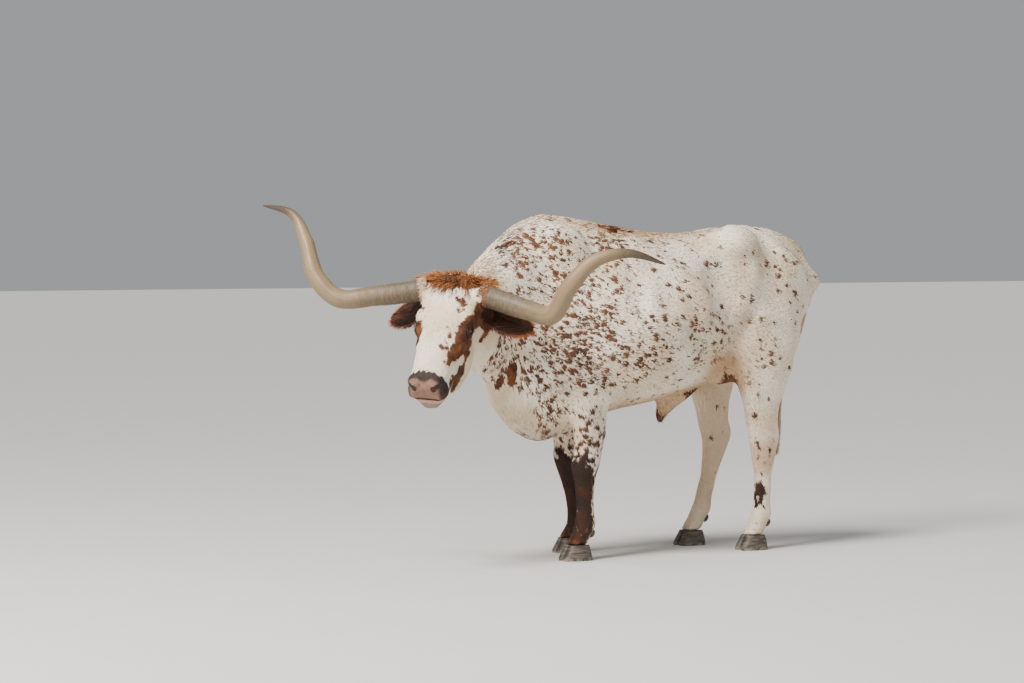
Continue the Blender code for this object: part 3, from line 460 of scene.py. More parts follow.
class Graph:
    """A node tree with short ways to add nodes and join them."""

    def __init__(self, tree: NodeTree) -> None:
        """Works on the given tree."""
        self.tree = tree

    def node(self, kind: str, values: dict | None = None, links: dict | None = None) -> Node:
        """Adds a node.

        Args:
            kind: the node's type.
            values: its properties and the constants of its inputs, by name or number.
            links: sockets joined to its inputs, by name or number.

        Returns:
            The node.
        """
        made = self.tree.nodes.new(kind)
        for key, value in (values or {}).items():
            if isinstance(key, str) and hasattr(made, key):
                setattr(made, key, value)
            else:
                made.inputs[key].default_value = value
        for key, socket in (links or {}).items():
            self.tree.links.new(socket, made.inputs[key])
        return made

    def maths(self, operation: str, first: object, second: object = 0.0, clamp: bool = False) -> NodeSocket:
        """Works out one thing from two.

        Args:
            operation: what to do.
            first: a socket or a number.
            second: a socket or a number.
            clamp: whether to keep the result from 0 to 1.

        Returns:
            The result.
        """
        made = self.tree.nodes.new("ShaderNodeMath")
        made.operation = operation
        made.use_clamp = clamp
        for index, value in enumerate((first, second)):
            self.give(made, index, value)
        return made.outputs[0]

    def give(self, node: Node, index: int, value: object) -> None:
        """Joins a socket to an input, or sets the input to a number or a colour."""
        if isinstance(value, NodeSocket):
            self.tree.links.new(value, node.inputs[index])
        else:
            node.inputs[index].default_value = value

    def times(self, first: object, second: object, clamp: bool = False) -> NodeSocket:
        """The product of two."""
        return self.maths("MULTIPLY", first, second, clamp)

    def plus(self, first: object, second: object, clamp: bool = False) -> NodeSocket:
        """The sum of two."""
        return self.maths("ADD", first, second, clamp)

    def less(self, first: object, second: object) -> NodeSocket:
        """The first less the second."""
        return self.maths("SUBTRACT", first, second)

    def most(self, first: object, second: object, clamp: bool = False) -> NodeSocket:
        """The larger of two."""
        return self.maths("MAXIMUM", first, second, clamp)

    def step(self, value: NodeSocket, low: float, high: float) -> NodeSocket:
        """A smooth step of a value from 0 at low to 1 at high."""
        values = {"interpolation_type": "SMOOTHSTEP", "From Min": low, "From Max": high}
        return self.node("ShaderNodeMapRange", values, {"Value": value}).outputs["Result"]

    def spread(self, value: NodeSocket, low: float, high: float) -> NodeSocket:
        """A value from 0 to 1 spread evenly from low to high."""
        return self.node("ShaderNodeMapRange", {"To Min": low, "To Max": high}, {"Value": value}).outputs[0]

    def noise(self, place: NodeSocket, scale: float, detail: float = 2.0) -> NodeSocket:
        """Noise at a scale, about 0.5."""
        values = {"Scale": scale, "Detail": detail}
        return self.node("ShaderNodeTexNoise", values, {"Vector": place}).outputs["Fac"]

    def cloud(self, place: NodeSocket, scale: float, detail: float, low: float, high: float) -> NodeSocket:
        """Clouds of noise at a scale, 0 where it is under low and 1 where it is over high."""
        return self.step(self.noise(place, scale, detail), low, high)

    def mix(self, share: object, first: object, second: object) -> NodeSocket:
        """Two colours mixed by a share."""
        made = self.tree.nodes.new("ShaderNodeMix")
        made.data_type = "RGBA"
        for index, value in ((0, share), (6, first), (7, second)):
            self.give(made, index, (*value, 1.0) if isinstance(value, tuple) else value)
        return made.outputs[2]

    def shaded(self, colour: NodeSocket, value: NodeSocket) -> NodeSocket:
        """A colour made lighter or darker."""
        return self.node("ShaderNodeHueSaturation", links={"Color": colour, "Value": value}).outputs[0]

    def parts(self, value: NodeSocket) -> list:
        """The three parts of a colour or a vector."""
        kind = "ShaderNodeSeparateColor" if value.type == "RGBA" else "ShaderNodeSeparateXYZ"
        return list(self.node(kind, links={0: value}).outputs)

    def vector(self, first: NodeSocket, second: NodeSocket) -> NodeSocket:
        """A vector with two parts and nothing for the third."""
        return self.node("ShaderNodeCombineXYZ", links={0: first, 1: second}).outputs[0]

    def stretched(self, vector: NodeSocket, factors: tuple) -> NodeSocket:
        """A vector multiplied along each axis."""
        values = {"operation": "MULTIPLY", 1: factors}
        return self.node("ShaderNodeVectorMath", values, {0: vector}).outputs[0]

    def length(self, vector: NodeSocket) -> NodeSocket:
        """How long a vector is."""
        return self.node("ShaderNodeVectorMath", {"operation": "LENGTH"}, {0: vector}).outputs["Value"]

    def attribute(self, name: str, output: str) -> NodeSocket:
        """A value kept on the mesh."""
        return self.node("ShaderNodeAttribute", {"attribute_name": name}).outputs[output]

    def own_place(self) -> NodeSocket:
        """The place in the piece's own coordinates."""
        return self.node("ShaderNodeTexCoord").outputs["Object"]

    def link(self, value: NodeSocket, node: Node, name: str) -> None:
        """Joins a socket to a node's input."""
        self.tree.links.new(value, node.inputs[name])


def new_group(name: str, inputs: dict, outputs: dict) -> tuple:
    """A shader node group with named sockets.

    Args:
        name: the group's name.
        inputs: socket types by name.
        outputs: socket types by name.

    Returns:
        Its graph, its input node and its output node.
    """
    tree = bpy.data.node_groups.new(name, "ShaderNodeTree")
    for way, sockets in (("INPUT", inputs), ("OUTPUT", outputs)):
        for socket, kind in sockets.items():
            tree.interface.new_socket(socket, in_out=way, socket_type=kind)
    graph = Graph(tree)
    return graph, graph.node("NodeGroupInput"), graph.node("NodeGroupOutput")


@dataclass(frozen=True)
class CoatColours:
    """The coat's colours, as plain paint values."""

    cream: tuple = (0.73, 0.58, 0.41)
    white: tuple = (0.87, 0.78, 0.64)
    fleck: tuple = (0.150, 0.052, 0.022)
    russet: tuple = (0.165, 0.058, 0.022)
    deep: tuple = (0.060, 0.022, 0.012)
    black: tuple = (0.028, 0.018, 0.014)
    tan: tuple = (0.48, 0.285, 0.135)
    grey: tuple = (0.57, 0.50, 0.42)


@dataclass(frozen=True)
class MarkingsGroup:
    """The coat's markings: cream ground, flecks, russet and dark patches, and tan patches."""

    colours: CoatColours = CoatColours()
    # Layers of spots: cells a metre, share of the flecks' amount, what is taken off it, largest spot.
    spot_layers: tuple = ((62.0, 1.0, 0.22, 0.52), (38.0, 1.0, 0.10, 0.48), (19.0, 1.30, 0.0, 0.30))
    warp: float = 0.022
    edge_scale: float = 34.0
    edge_reach: float = 2.1

    def build(self) -> NodeTree:
        """Builds the group, with a place and the marks as inputs and a colour as output."""
        sockets = {"Place": "NodeSocketVector", "Marks": "NodeSocketColor", "Tan": "NodeSocketFloat"}
        graph, inlet, outlet = new_group("Markings", sockets, {"Color": "NodeSocketColor"})
        place, colours = inlet.outputs["Place"], self.colours
        flecks, brown, dark = graph.parts(inlet.outputs["Marks"])
        warp = graph.node("ShaderNodeTexNoise", {"Scale": 30.0, "Detail": 2.0}, {"Vector": place})
        shifted = graph.node("ShaderNodeVectorMath", {"operation": "MULTIPLY_ADD", 1: (self.warp,) * 3},
                             {0: warp.outputs["Color"], 2: place}).outputs[0]
        ground = graph.mix(graph.cloud(place, 5.0, 4.0, 0.38, 0.62), colours.cream, colours.white)
        shade = graph.times(graph.step(flecks, 0.10, 0.90), graph.cloud(place, 8.0, 3.0, 0.40, 0.70))
        ground = graph.mix(graph.times(shade, 0.55), ground, colours.grey)
        clumps = graph.times(graph.less(graph.noise(place, 6.5), 0.5), 1.3)
        amount = graph.times(flecks, graph.plus(1.0, clumps))
        small, middle, large = (
            self.cells(graph, shifted, cells, graph.less(graph.times(amount, share), less), size)
            for cells, share, less, size in self.spot_layers)
        spots = graph.most(graph.most(small, middle), large)
        spot_colour = graph.mix(graph.cloud(place, 9.0, 3.0, 0.35, 0.65), colours.fleck, colours.deep)
        colour = graph.mix(graph.times(spots, 0.98), ground, spot_colour)
        colour = graph.mix(graph.times(inlet.outputs["Tan"], 0.8, True), colour, colours.tan)
        edge = graph.noise(shifted, self.edge_scale, 5.0)
        russet = graph.mix(graph.cloud(place, 24.0, 5.0, 0.38, 0.62), colours.russet, colours.deep)
        colour = graph.mix(self.patch(graph, brown, edge), colour, russet)
        black = graph.mix(graph.cloud(place, 20.0, 3.0, 0.40, 0.75), colours.black, colours.deep)
        colour = graph.mix(self.patch(graph, dark, edge), colour, black)
        graph.link(colour, outlet, "Color")
        return graph.tree

    def cells(self, graph: Graph, place: NodeSocket, scale: float, amount: NodeSocket,
              size: float) -> NodeSocket:
        """Scattered spots, one in a cell at most, more and larger where the amount is high.

        Args:
            graph: the group's graph.
            place: where the cells are looked up.
            scale: cells a metre.
            amount: how many cells have a spot, from 0 to 1.
            size: the largest spot, as a share of a cell.

        Returns:
            1 in a spot and 0 outside.
        """
        cells = graph.node("ShaderNodeTexVoronoi", {"Scale": scale, "Randomness": 1.0}, {"Vector": place})
        chosen = graph.less(amount, graph.parts(cells.outputs["Color"])[0])
        reach = graph.times(graph.step(chosen, -0.02, 0.55), size)
        return graph.step(graph.less(reach, cells.outputs["Distance"]), -0.05, 0.07)

    def patch(self, graph: Graph, amount: NodeSocket, edge: NodeSocket) -> NodeSocket:
        """A patch whose edge is broken by noise."""
        rough = graph.plus(amount, graph.times(graph.less(edge, 0.5), self.edge_reach))
        return graph.step(rough, 0.43, 0.57)


@dataclass(frozen=True)
class HairGrainGroup:
    """Fine streaks of short hair, as a height and a lightness that vary over the surface."""

    def build(self) -> NodeTree:
        """Builds the group, with a place, a scale and outputs for height and tone."""
        sockets = {"Place": "NodeSocketVector", "Scale": "NodeSocketFloat"}
        results = {"Height": "NodeSocketFloat", "Tone": "NodeSocketFloat"}
        graph, inlet, outlet = new_group("Hair Grain", sockets, results)
        place, scale = inlet.outputs["Place"], inlet.outputs["Scale"]
        links = {"Vector": graph.stretched(place, (0.35, 1.0, 0.7)), "Scale": scale}
        fine = graph.node("ShaderNodeTexNoise", {"Detail": 4.0}, links).outputs["Fac"]
        height = graph.plus(fine, graph.times(graph.noise(place, 45.0), 0.5))
        graph.link(height, outlet, "Height")
        graph.link(graph.step(fine, 0.3, 0.7), outlet, "Tone")
        return graph.tree


class Palette:
    """What the finishes share: two node groups, and the way a material starts."""

    def __init__(self) -> None:
        """Builds the shared groups."""
        self.markings = MarkingsGroup().build()
        self.grain = HairGrainGroup().build()

    def material(self, name: str) -> tuple:
        """A new material.

        Args:
            name: the material's name.

        Returns:
            The material, its graph and its shader node.
        """
        made = bpy.data.materials.new(name)
        made.use_nodes = True
        return made, Graph(made.node_tree), made.node_tree.nodes["Principled BSDF"]

    def coat_colour(self, graph: Graph) -> NodeSocket:
        """The coat's colour, from the roots and marks that the mesh keeps."""
        group = graph.node("ShaderNodeGroup", {"node_tree": self.markings})
        marks = graph.attribute("marks", "Color")
        graph.link(graph.attribute("root", "Vector"), group, "Place")
        graph.link(marks, group, "Marks")
        graph.link(marks.node.outputs["Alpha"], group, "Tan")
        return group.outputs["Color"]

    def hair_grain(self, graph: Graph, place: NodeSocket, scale: float) -> Node:
        """The streaks of short hair, at so many a metre."""
        group = graph.node("ShaderNodeGroup", {"node_tree": self.grain})
        graph.link(place, group, "Place")
        group.inputs["Scale"].default_value = scale
        return group


def bump(graph: Graph, shader: Node, height: NodeSocket, distance: float,
         strength: float = 1.0) -> None:
    """Raises the surface by a height.

    Args:
        graph: the material's graph.
        shader: its shader node.
        height: the height.
        distance: how high a height of one is.
        strength: how much of it shows.
    """
    made = graph.node("ShaderNodeBump", {"Strength": strength, "Distance": distance}, {"Height": height})
    graph.tree.links.new(made.outputs[0], shader.inputs["Normal"])


@dataclass(frozen=True)
class SkinFinish:
    """Hide under the coat, and the bare skin of muzzle, lids and lips."""

    pad: tuple = (0.290, 0.145, 0.100)
    pad_dark: tuple = (0.022, 0.016, 0.014)
    lip: tuple = (0.54, 0.34, 0.265)
    relief: float = 0.0012

    def build(self, palette: Palette) -> Material:
        """Mixes the coat's markings with bare skin where the mesh says it is bare."""
        made, graph, shader = palette.material("hide_skin")
        root, bare = graph.attribute("root", "Vector"), graph.attribute("bare", "Fac")
        grey, pink, _ = graph.parts(graph.attribute("bare_tone_and_painted_light", "Color"))
        small = graph.cloud(root, 110.0, 4.0, 0.60, 0.68)
        large = graph.cloud(root, 36.0, 3.0, 0.60, 0.70)
        # grey carries the bare skin's dark colour together with painted shade in the nostrils and along the
        # mouth, and less of it under the eyes for a painted highlight on the lower lids
        dark = graph.most(graph.times(graph.most(small, large), 0.55), grey, True)
        skin = graph.mix(dark, graph.mix(pink, self.pad, self.lip), self.pad_dark)
        graph.link(graph.mix(bare, palette.coat_colour(graph), skin), shader, "Base Color")
        dry = graph.plus(graph.spread(bare, 0.85, 0.38), graph.times(dark, 0.22), True)
        graph.link(dry, shader, "Roughness")
        pebbles = graph.node("ShaderNodeTexVoronoi", {"Scale": 330.0}, {"Vector": root})
        pebbled = graph.times(graph.step(pebbles.outputs["Distance"], 0.65, 0.1), bare)
        grain = palette.hair_grain(graph, root, 420.0)
        height = graph.plus(pebbled, graph.times(grain.outputs["Height"], 0.7))
        bump(graph, shader, height, self.relief)
        shader.inputs["Specular IOR Level"].default_value = 0.25
        return made


@dataclass(frozen=True)
class CoatFinish:
    """Hair of the coat, each tuft in the colour of the place where it grows."""

    name: str = "coat_hair"
    # lift: how much lighter a tuft's tip is painted than its root, which is painted darker as shade
    lift: float = 1.08
    relief: float = 0.0006

    def build(self, palette: Palette) -> Material:
        """Takes the markings at each tuft's root, darkened there as painted shade between the tufts and
        lightened at its tip as painted light.
        """
        made, graph, shader = palette.material(self.name)
        along, drawn, _ = graph.parts(graph.attribute("strand", "Color"))
        # from 0.88 at the root to lift at the tip: painted shade at the roots and painted light at the tips;
        # drawn gives each tuft a random tone
        value = graph.times(graph.spread(along, 0.88, self.lift), graph.spread(drawn, 0.92, 1.06))
        graph.link(graph.shaded(palette.coat_colour(graph), value), shader, "Base Color")
        shader.inputs["Roughness"].default_value = 0.62
        shader.inputs["Specular IOR Level"].default_value = 0.28
        grain = palette.hair_grain(graph, graph.own_place(), 700.0)
        bump(graph, shader, grain.outputs["Height"], self.relief)
        return made


@dataclass(frozen=True)
class LockFinish:
    """Hair of one colour from root to tip: the poll's tuft, the ears' fringe, the switch."""

    name: str
    root: tuple
    tip: tuple
    odd: tuple
    deep: tuple = (0.10, 0.028, 0.012)
    relief: float = 0.0008

    def build(self, palette: Palette) -> Material:
        """Runs from the root's colour to the tip's, with odd locks, and deeper where the marks say."""
        made, graph, shader = palette.material(self.name)
        deepened = graph.parts(graph.attribute("marks", "Color"))[0]
        length, drawn, _ = graph.parts(graph.attribute("strand", "Color"))
        along = graph.mix(graph.step(length, 0.05, 0.85), self.root, self.tip)
        varied = graph.mix(graph.step(drawn, 0.55, 0.95), along, self.odd)
        mixed = graph.mix(deepened, varied, self.deep)
        grain = palette.hair_grain(graph, graph.own_place(), 520.0)
        light = graph.spread(grain.outputs["Tone"], 0.72, 1.18)
        graph.link(graph.shaded(mixed, light), shader, "Base Color")
        shader.inputs["Roughness"].default_value = 0.55
        shader.inputs["Specular IOR Level"].default_value = 0.30
        bump(graph, shader, grain.outputs["Height"], self.relief)
        return made


@dataclass(frozen=True)
class HornFinish:
    """Horn: grey-brown and ringed at the root, tan in the middle, dark at the tip."""

    root: tuple = (0.120, 0.088, 0.052)
    middle: tuple = (0.240, 0.165, 0.086)
    tip: tuple = (0.070, 0.046, 0.030)
    pale: tuple = (0.40, 0.295, 0.170)
    groove: tuple = (0.060, 0.042, 0.028)
    relief: float = 0.0016

    def build(self, palette: Palette) -> Material:
        """Colours the horn by its length, with streaks along it and rings across it."""
        made, graph, shader = palette.material("horn_sheath")
        lengthwise = graph.attribute("lengthwise", "Vector")
        along, turn, _ = graph.parts(lengthwise)
        wave = graph.noise(graph.attribute("root", "Vector"), 14.0, 3.0)
        place = graph.plus(along, graph.times(graph.less(wave, 0.5), 0.10))
        low = graph.mix(graph.step(place, 0.02, 0.40), self.root, self.middle)
        body = graph.mix(graph.step(place, 0.70, 0.90), low, self.tip)
        streaks = graph.noise(graph.vector(graph.times(along, 2.0), graph.times(turn, 9.0)), 3.0, 5.0)
        middle = graph.times(graph.step(place, 0.95, 0.60), graph.step(place, 0.05, 0.35))
        pale_share = graph.times(graph.step(streaks, 0.50, 0.72), middle)
        streaked = graph.mix(graph.times(pale_share, 0.45), body, self.pale)
        dark_share = graph.times(graph.step(streaks, 0.48, 0.30), 0.40)
        coloured = graph.mix(dark_share, streaked, self.root)
        graph.link(graph.spread(place, 0.58, 0.30), shader, "Roughness")
        fine = graph.noise(graph.stretched(lengthwise, (46.0, 0.5, 0.5)), 4.0, 3.0)
        ringed = graph.times(graph.step(fine, 0.42, 0.62), graph.step(place, 0.42, 0.02))
        graph.link(graph.mix(graph.times(ringed, 0.60), coloured, self.groove), shader, "Base Color")
        bump(graph, shader, graph.plus(graph.times(streaks, 0.7), graph.times(fine, 0.6)), self.relief)
        return made


@dataclass(frozen=True)
class EyeFinish:
    """A dark brown eye with a long level pupil under a wet, clear surface."""

    pupil: tuple = (0.004, 0.004, 0.006)
    iris: tuple = (0.045, 0.018, 0.008)
    rim: tuple = (0.012, 0.008, 0.007)
    white: tuple = (0.42, 0.33, 0.28)

    def build(self, palette: Palette) -> Material:
        """Colours the eye by its own coordinates: level, upright and towards where it looks."""
        made, graph, shader = palette.material("eye_wet")
        gaze = graph.attribute("gaze", "Vector")
        level, rise, _ = graph.parts(gaze)
        pupil = graph.length(graph.vector(graph.times(level, 0.52), rise))
        away = graph.length(graph.vector(level, rise))
        iris = graph.mix(graph.cloud(gaze, 14.0, 4.0, 0.35, 0.7), self.iris, self.rim)
        inner = graph.mix(graph.step(pupil, 0.20, 0.25), self.pupil, iris)
        ringed = graph.mix(graph.step(away, 0.58, 0.66), inner, self.rim)
        graph.link(graph.mix(graph.step(away, 0.70, 0.80), ringed, self.white), shader, "Base Color")
        shader.inputs["Roughness"].default_value = 0.16
        shader.inputs["Coat Weight"].default_value = 1.0
        shader.inputs["Coat Roughness"].default_value = 0.03
        return made


@dataclass(frozen=True)
class HoofFinish:
    """Dark horn of the claws, banded across, worn paler and dusty at the edge."""

    dark: tuple = (0.045, 0.036, 0.030)
    band: tuple = (0.13, 0.10, 0.075)
    worn: tuple = (0.30, 0.25, 0.19)
    relief: float = 0.0015

    def build(self, palette: Palette) -> Material:
        """Bands by height, wear low down."""
        made, graph, shader = palette.material("hoof_horn")
        place = graph.own_place()
        bands = graph.noise(graph.stretched(place, (18.0, 18.0, 130.0)), 1.0, 3.0)
        body = graph.mix(graph.step(bands, 0.40, 0.65), self.dark, self.band)
        low = graph.step(graph.parts(place)[2], 0.022, 0.0)
        wear = graph.times(low, graph.cloud(place, 60.0, 4.0, 0.38, 0.62))
        graph.link(graph.mix(wear, body, self.worn), shader, "Base Color")
        shader.inputs["Roughness"].default_value = 0.48
        bump(graph, shader, graph.plus(bands, graph.noise(place, 240.0, 3.0)), self.relief)
        return made


@dataclass(frozen=True)
class FloorFinish:
    """A plain pale floor."""

    colour: tuple = (0.66, 0.65, 0.63)

    def build(self, palette: Palette) -> Material:
        """Matt and nearly even."""
        made, graph, shader = palette.material("floor_pale")
        darker = tuple(part * 0.95 for part in self.colour)
        mottled = graph.mix(graph.noise(graph.own_place(), 3.0, 4.0), self.colour, darker)
        graph.link(mottled, shader, "Base Color")
        shader.inputs["Roughness"].default_value = 0.9
        return made


@dataclass(frozen=True)
class EyePlace:
    """Where an eye sits and how it looks out."""

    frame: Frame
    side: int
    radius: float = 0.021
    rim: tuple = (0.0235, 0.0165)

    def centre(self) -> np.ndarray:
        """The middle of the eyeball."""
        across, down, out = self.frame.eye
        return self.frame.on_head(np.array((self.side * across, down, out)))

    def axes(self) -> np.ndarray:
        """Rows for level along the lids, rise, and look."""
        across, along, out = self.frame.axes()
        look = unit(across * (self.side * 0.80) + out * 0.58 - along * 0.10)
        level = unit(along - look * (along @ look))
        return np.array((level, np.cross(look, level), look))

    def local(self, points: np.ndarray) -> np.ndarray:
        """Model points from the eye's centre in its own axes."""
        return (points - self.centre()) @ self.axes().T

    def off_rim(self, level: np.ndarray, rise: np.ndarray) -> np.ndarray:
        """How far points lie from the middle of the lids, 1 at their rim."""
        return np.sqrt((level / self.rim[0]) ** 2 + (rise / self.rim[1]) ** 2)


@dataclass(frozen=True)
class HeadForm:
    """The head and the neck behind it, as one fine skin with lids, nostrils and mouth."""

    frame: Frame
    length: float = 0.55
    voxel: float = 0.0060
    fine_voxel: float = 0.0036
    lid_thickness: float = 0.0050
    lid_opening: tuple = (0.0185, 0.0122)
    # The round of each nostril and its tail: place and radii.
    nostrils: tuple = (((0.043, 0.552, -0.040), (0.0105, 0.024, 0.015)),
                       ((0.057, 0.540, -0.028), (0.0120, 0.022, 0.0095)))
    mouth_depth: float = 0.020
    seat: tuple = (0.062, 0.080)

    # Down the face: distance, face and jaw surface, half width, widest place, squareness of each.
    skull_rows: tuple = (
        (-0.040, -0.070, -0.170, 0.075, -0.12, 2.0, 2.0), (-0.010, -0.028, -0.215, 0.120, -0.10, 2.4, 2.0),
        (0.040, -0.004, -0.255, 0.140, -0.09, 2.6, 2.0), (0.100, 0.000, -0.280, 0.132, -0.09, 2.6, 2.0),
        (0.160, 0.002, -0.290, 0.127, -0.08, 2.6, 2.0), (0.215, 0.002, -0.286, 0.122, -0.08, 2.5, 1.9),
        (0.270, 0.001, -0.304, 0.114, -0.11, 2.3, 2.8), (0.330, 0.002, -0.296, 0.104, -0.11, 2.2, 3.2),
        (0.390, 0.004, -0.276, 0.096, -0.11, 2.2, 3.2), (0.440, 0.003, -0.248, 0.089, -0.10, 2.3, 3.0),
        (0.485, 0.000, -0.214, 0.084, -0.085, 2.5, 2.6), (0.520, -0.010, -0.194, 0.082, -0.078, 2.7, 2.3),
        (0.545, -0.024, -0.176, 0.075, -0.082, 2.7, 2.3), (0.560, -0.044, -0.152, 0.057, -0.090, 2.4, 2.2),
    )
    # Along the neck: forward, left, height, depth above and below, half width.
    neck_rows: tuple = (
        (1.26, 0.000, 1.16, 0.350, 0.50, 0.205), (1.40, 0.000, 1.14, 0.385, 0.52, 0.195),
        (1.52, 0.010, 1.12, 0.362, 0.46, 0.170), (1.63, 0.035, 1.10, 0.305, 0.36, 0.150),
        (1.72, 0.070, 1.08, 0.258, 0.28, 0.135), (1.80, 0.110, 1.07, 0.206, 0.22, 0.122),
        (1.88, 0.150, 1.06, 0.148, 0.17, 0.110),
    )
    middle_masses: tuple = (
        ((0.0, 0.020, -0.075), (0.120, 0.060, 0.065)), ((0.0, -0.004, -0.034), (0.105, 0.046, 0.036)),
        ((0.0, 0.510, -0.162), (0.054, 0.050, 0.036)),
    )
    paired_masses: tuple = (
        ((0.115, 0.044, -0.062), (0.078, 0.057, 0.057)), ((0.098, 0.226, -0.058), (0.034, 0.046, 0.034)),
        ((0.057, 0.516, -0.094), (0.033, 0.040, 0.036)), ((0.096, 0.180, -0.040), (0.036, 0.052, 0.036)),
        ((0.062, 0.165, -0.195), (0.050, 0.100, 0.085)), ((0.082, 0.275, -0.075), (0.030, 0.080, 0.026)),
        ((0.042, 0.515, -0.036), (0.036, 0.034, 0.034)), ((0.050, 0.480, -0.110), (0.028, 0.055, 0.032)),
    )
    # The mouth from its front to its corner: down the face, out, and half the gap.
    mouth_line: tuple = ((0.600, -0.108, 0.0065), (0.560, -0.111, 0.0060), (0.510, -0.112, 0.0046),
                         (0.460, -0.116, 0.0034), (0.425, -0.124, 0.0024))
    horn_start: tuple = ((0.150, -0.003, 0.009), (0.150, 0.002, 0.014))
    horn_next: tuple = ((0.338, 0.016, -0.036), (0.336, 0.064, -0.022))
    horn_root: tuple = (0.0, 0.045, -0.060)

    def skull(self, inset: float = 0.0, count: int = 64) -> Object:
        """The head in rings from poll to nose, or its core at some depth.

        Args:
            inset: the depth, 0 for the head itself.
            count: points in a ring.

        Returns:
            The new object.
        """
        scale = self.length / self.skull_rows[-1][0]
        rings = []
        for down, face, jaw, half, widest, face_power, jaw_power in self.skull_rows:
            above, below = face - widest - inset, widest - jaw - inset
            ring = egg((half - inset, above, below, face_power, jaw_power), count)
            places = np.stack([ring[:, 0], np.full(count, down * scale - inset), widest + ring[:, 1]], axis=1)
            rings.append(self.frame.on_head(places))
        return loft("skull", np.array(rings))

    def neck(self) -> Object:
        """The neck in upright rings across its line."""
        centres = np.array([row[:3] for row in self.neck_rows])
        ahead = np.gradient(centres, axis=0) * (1.0, 1.0, 0.0)
        rings = []
        for row, centre, along in zip(self.neck_rows, centres, unit(ahead)):
            ring = egg((row[5], row[3], row[4], 1.8, 1.7), 56)
            left = np.array((-along[1], along[0], 0.0))
            rings.append(self.frame.at(centre + ring[:, :1] * left + ring[:, 1:] * (0.0, 0.0, 1.0)))
        return loft("neck", np.array(rings))

    def mass(self, centre: tuple, radii: tuple) -> Object:
        """An ellipsoid in the head's axes."""
        return ball("mass", self.frame.on_head(np.array(centre)), radii, self.frame.axes())

    def horn_point(self, place: tuple, side: int) -> np.ndarray:
        """A point of a horn's line, from the line's crossing of the head."""
        offset = np.array((side * place[0], place[1], place[2])) @ self.frame.level_axes()
        return self.frame.on_head(np.array(self.horn_root)) + offset

    def slit(self, eye: EyePlace) -> Object:
        """A prism whose outline is the opening of the lids.

        Args:
            eye: the eye that the lids are over.

        Returns:
            The new object.
        """
        angles = np.linspace(0.0, math.tau, 36, endpoint=False)
        wide = self.lid_opening[0] * np.cos(angles)
        tall = self.lid_opening[1] * np.sin(angles) * (1.0 - 0.25 * np.abs(np.cos(angles)))
        level, rise, look = eye.axes()
        outline = wide[:, None] * level + tall[:, None] * rise
        rings = [eye.centre() + look * eye.radius * depth + outline * spread
                 for depth, spread in ((0.55, 1.0), (2.2, 1.5))]
        return loft("slit", np.array(rings))

    def mouth(self) -> Object:
        """The wedge that opens the line of the mouth, cut off at its depth."""
        upper = [(down, out + half) for down, out, half in self.mouth_line]
        lower = [(down, out - half) for down, out, half in reversed(self.mouth_line)]
        profile = np.array(upper + lower)
        rings = [self.frame.on_head(np.column_stack([np.full(len(profile), wide), profile]))
                 for wide in (-0.12, 0.12)]
        wedge = loft("wedge", np.array(rings))
        cut(wedge, self.skull(self.mouth_depth, 28))
        return wedge

    def build(self) -> Object:
        """Runs the forms together, then opens lids, nostrils, mouth and the horns' seats."""
        pieces = [self.skull(), self.neck()]
        pieces += [self.mass(*row) for row in self.middle_masses]
        for (across, down, out), radii in self.paired_masses:
            pieces += [self.mass((side * across, down, out), radii) for side in SIDES]
        head = remeshed(merged("head_form", pieces), self.voxel, 6)
        cut(head, self.mouth())
        for side in SIDES:
            eye = EyePlace(self.frame, side)
            index = SIDES.index(side)
            cut(head, ball("lid", eye.centre(), (eye.radius + self.lid_thickness,) * 3, eye.axes()), "UNION")
            cut(head, self.slit(eye))
            cut(head, ball("socket", eye.centre(), (eye.radius,) * 3, eye.axes()))
            for (across, down, out), radii in self.nostrils:
                cut(head, self.mass((side * across, down, out), radii))
            start = self.horn_point(self.horn_start[index], side)
            ahead = unit(self.horn_point(self.horn_next[index], side) - start)
            ends = np.array([start, start + ahead * self.seat[1]])
            cut(head, loft("seat", tube_rings(ends, np.full(2, self.seat[0]), 40)))
        return remeshed(head, self.fine_voxel, 2)

    @staticmethod
    def off_nostril(on_head: np.ndarray, centre: tuple, radii: tuple) -> np.ndarray:
        """How far places in the head's axes lie from a part of a nostril, 1 at its wall."""
        across, down, out = on_head.T
        away = ((np.abs(across) - centre[0]) / radii[0]) ** 2 + ((down - centre[1]) / radii[1]) ** 2
        return np.sqrt(away + ((out - centre[2]) / radii[2]) ** 2)


class Region(Enum):
    """Stretches of the coat, each unwrapped and grown by itself."""

    HEAD = 0
    NECK = 1
    TRUNK = 2
    FORE_LEFT = 3
    FORE_RIGHT = 4
    HIND_LEFT = 5
    HIND_RIGHT = 6
    TAIL = 7
    EAR_LEFT = 8
    EAR_RIGHT = 9

    def over(self, points: np.ndarray) -> np.ndarray:
        """This region for each of the points."""
        return np.full(len(points), self.value)


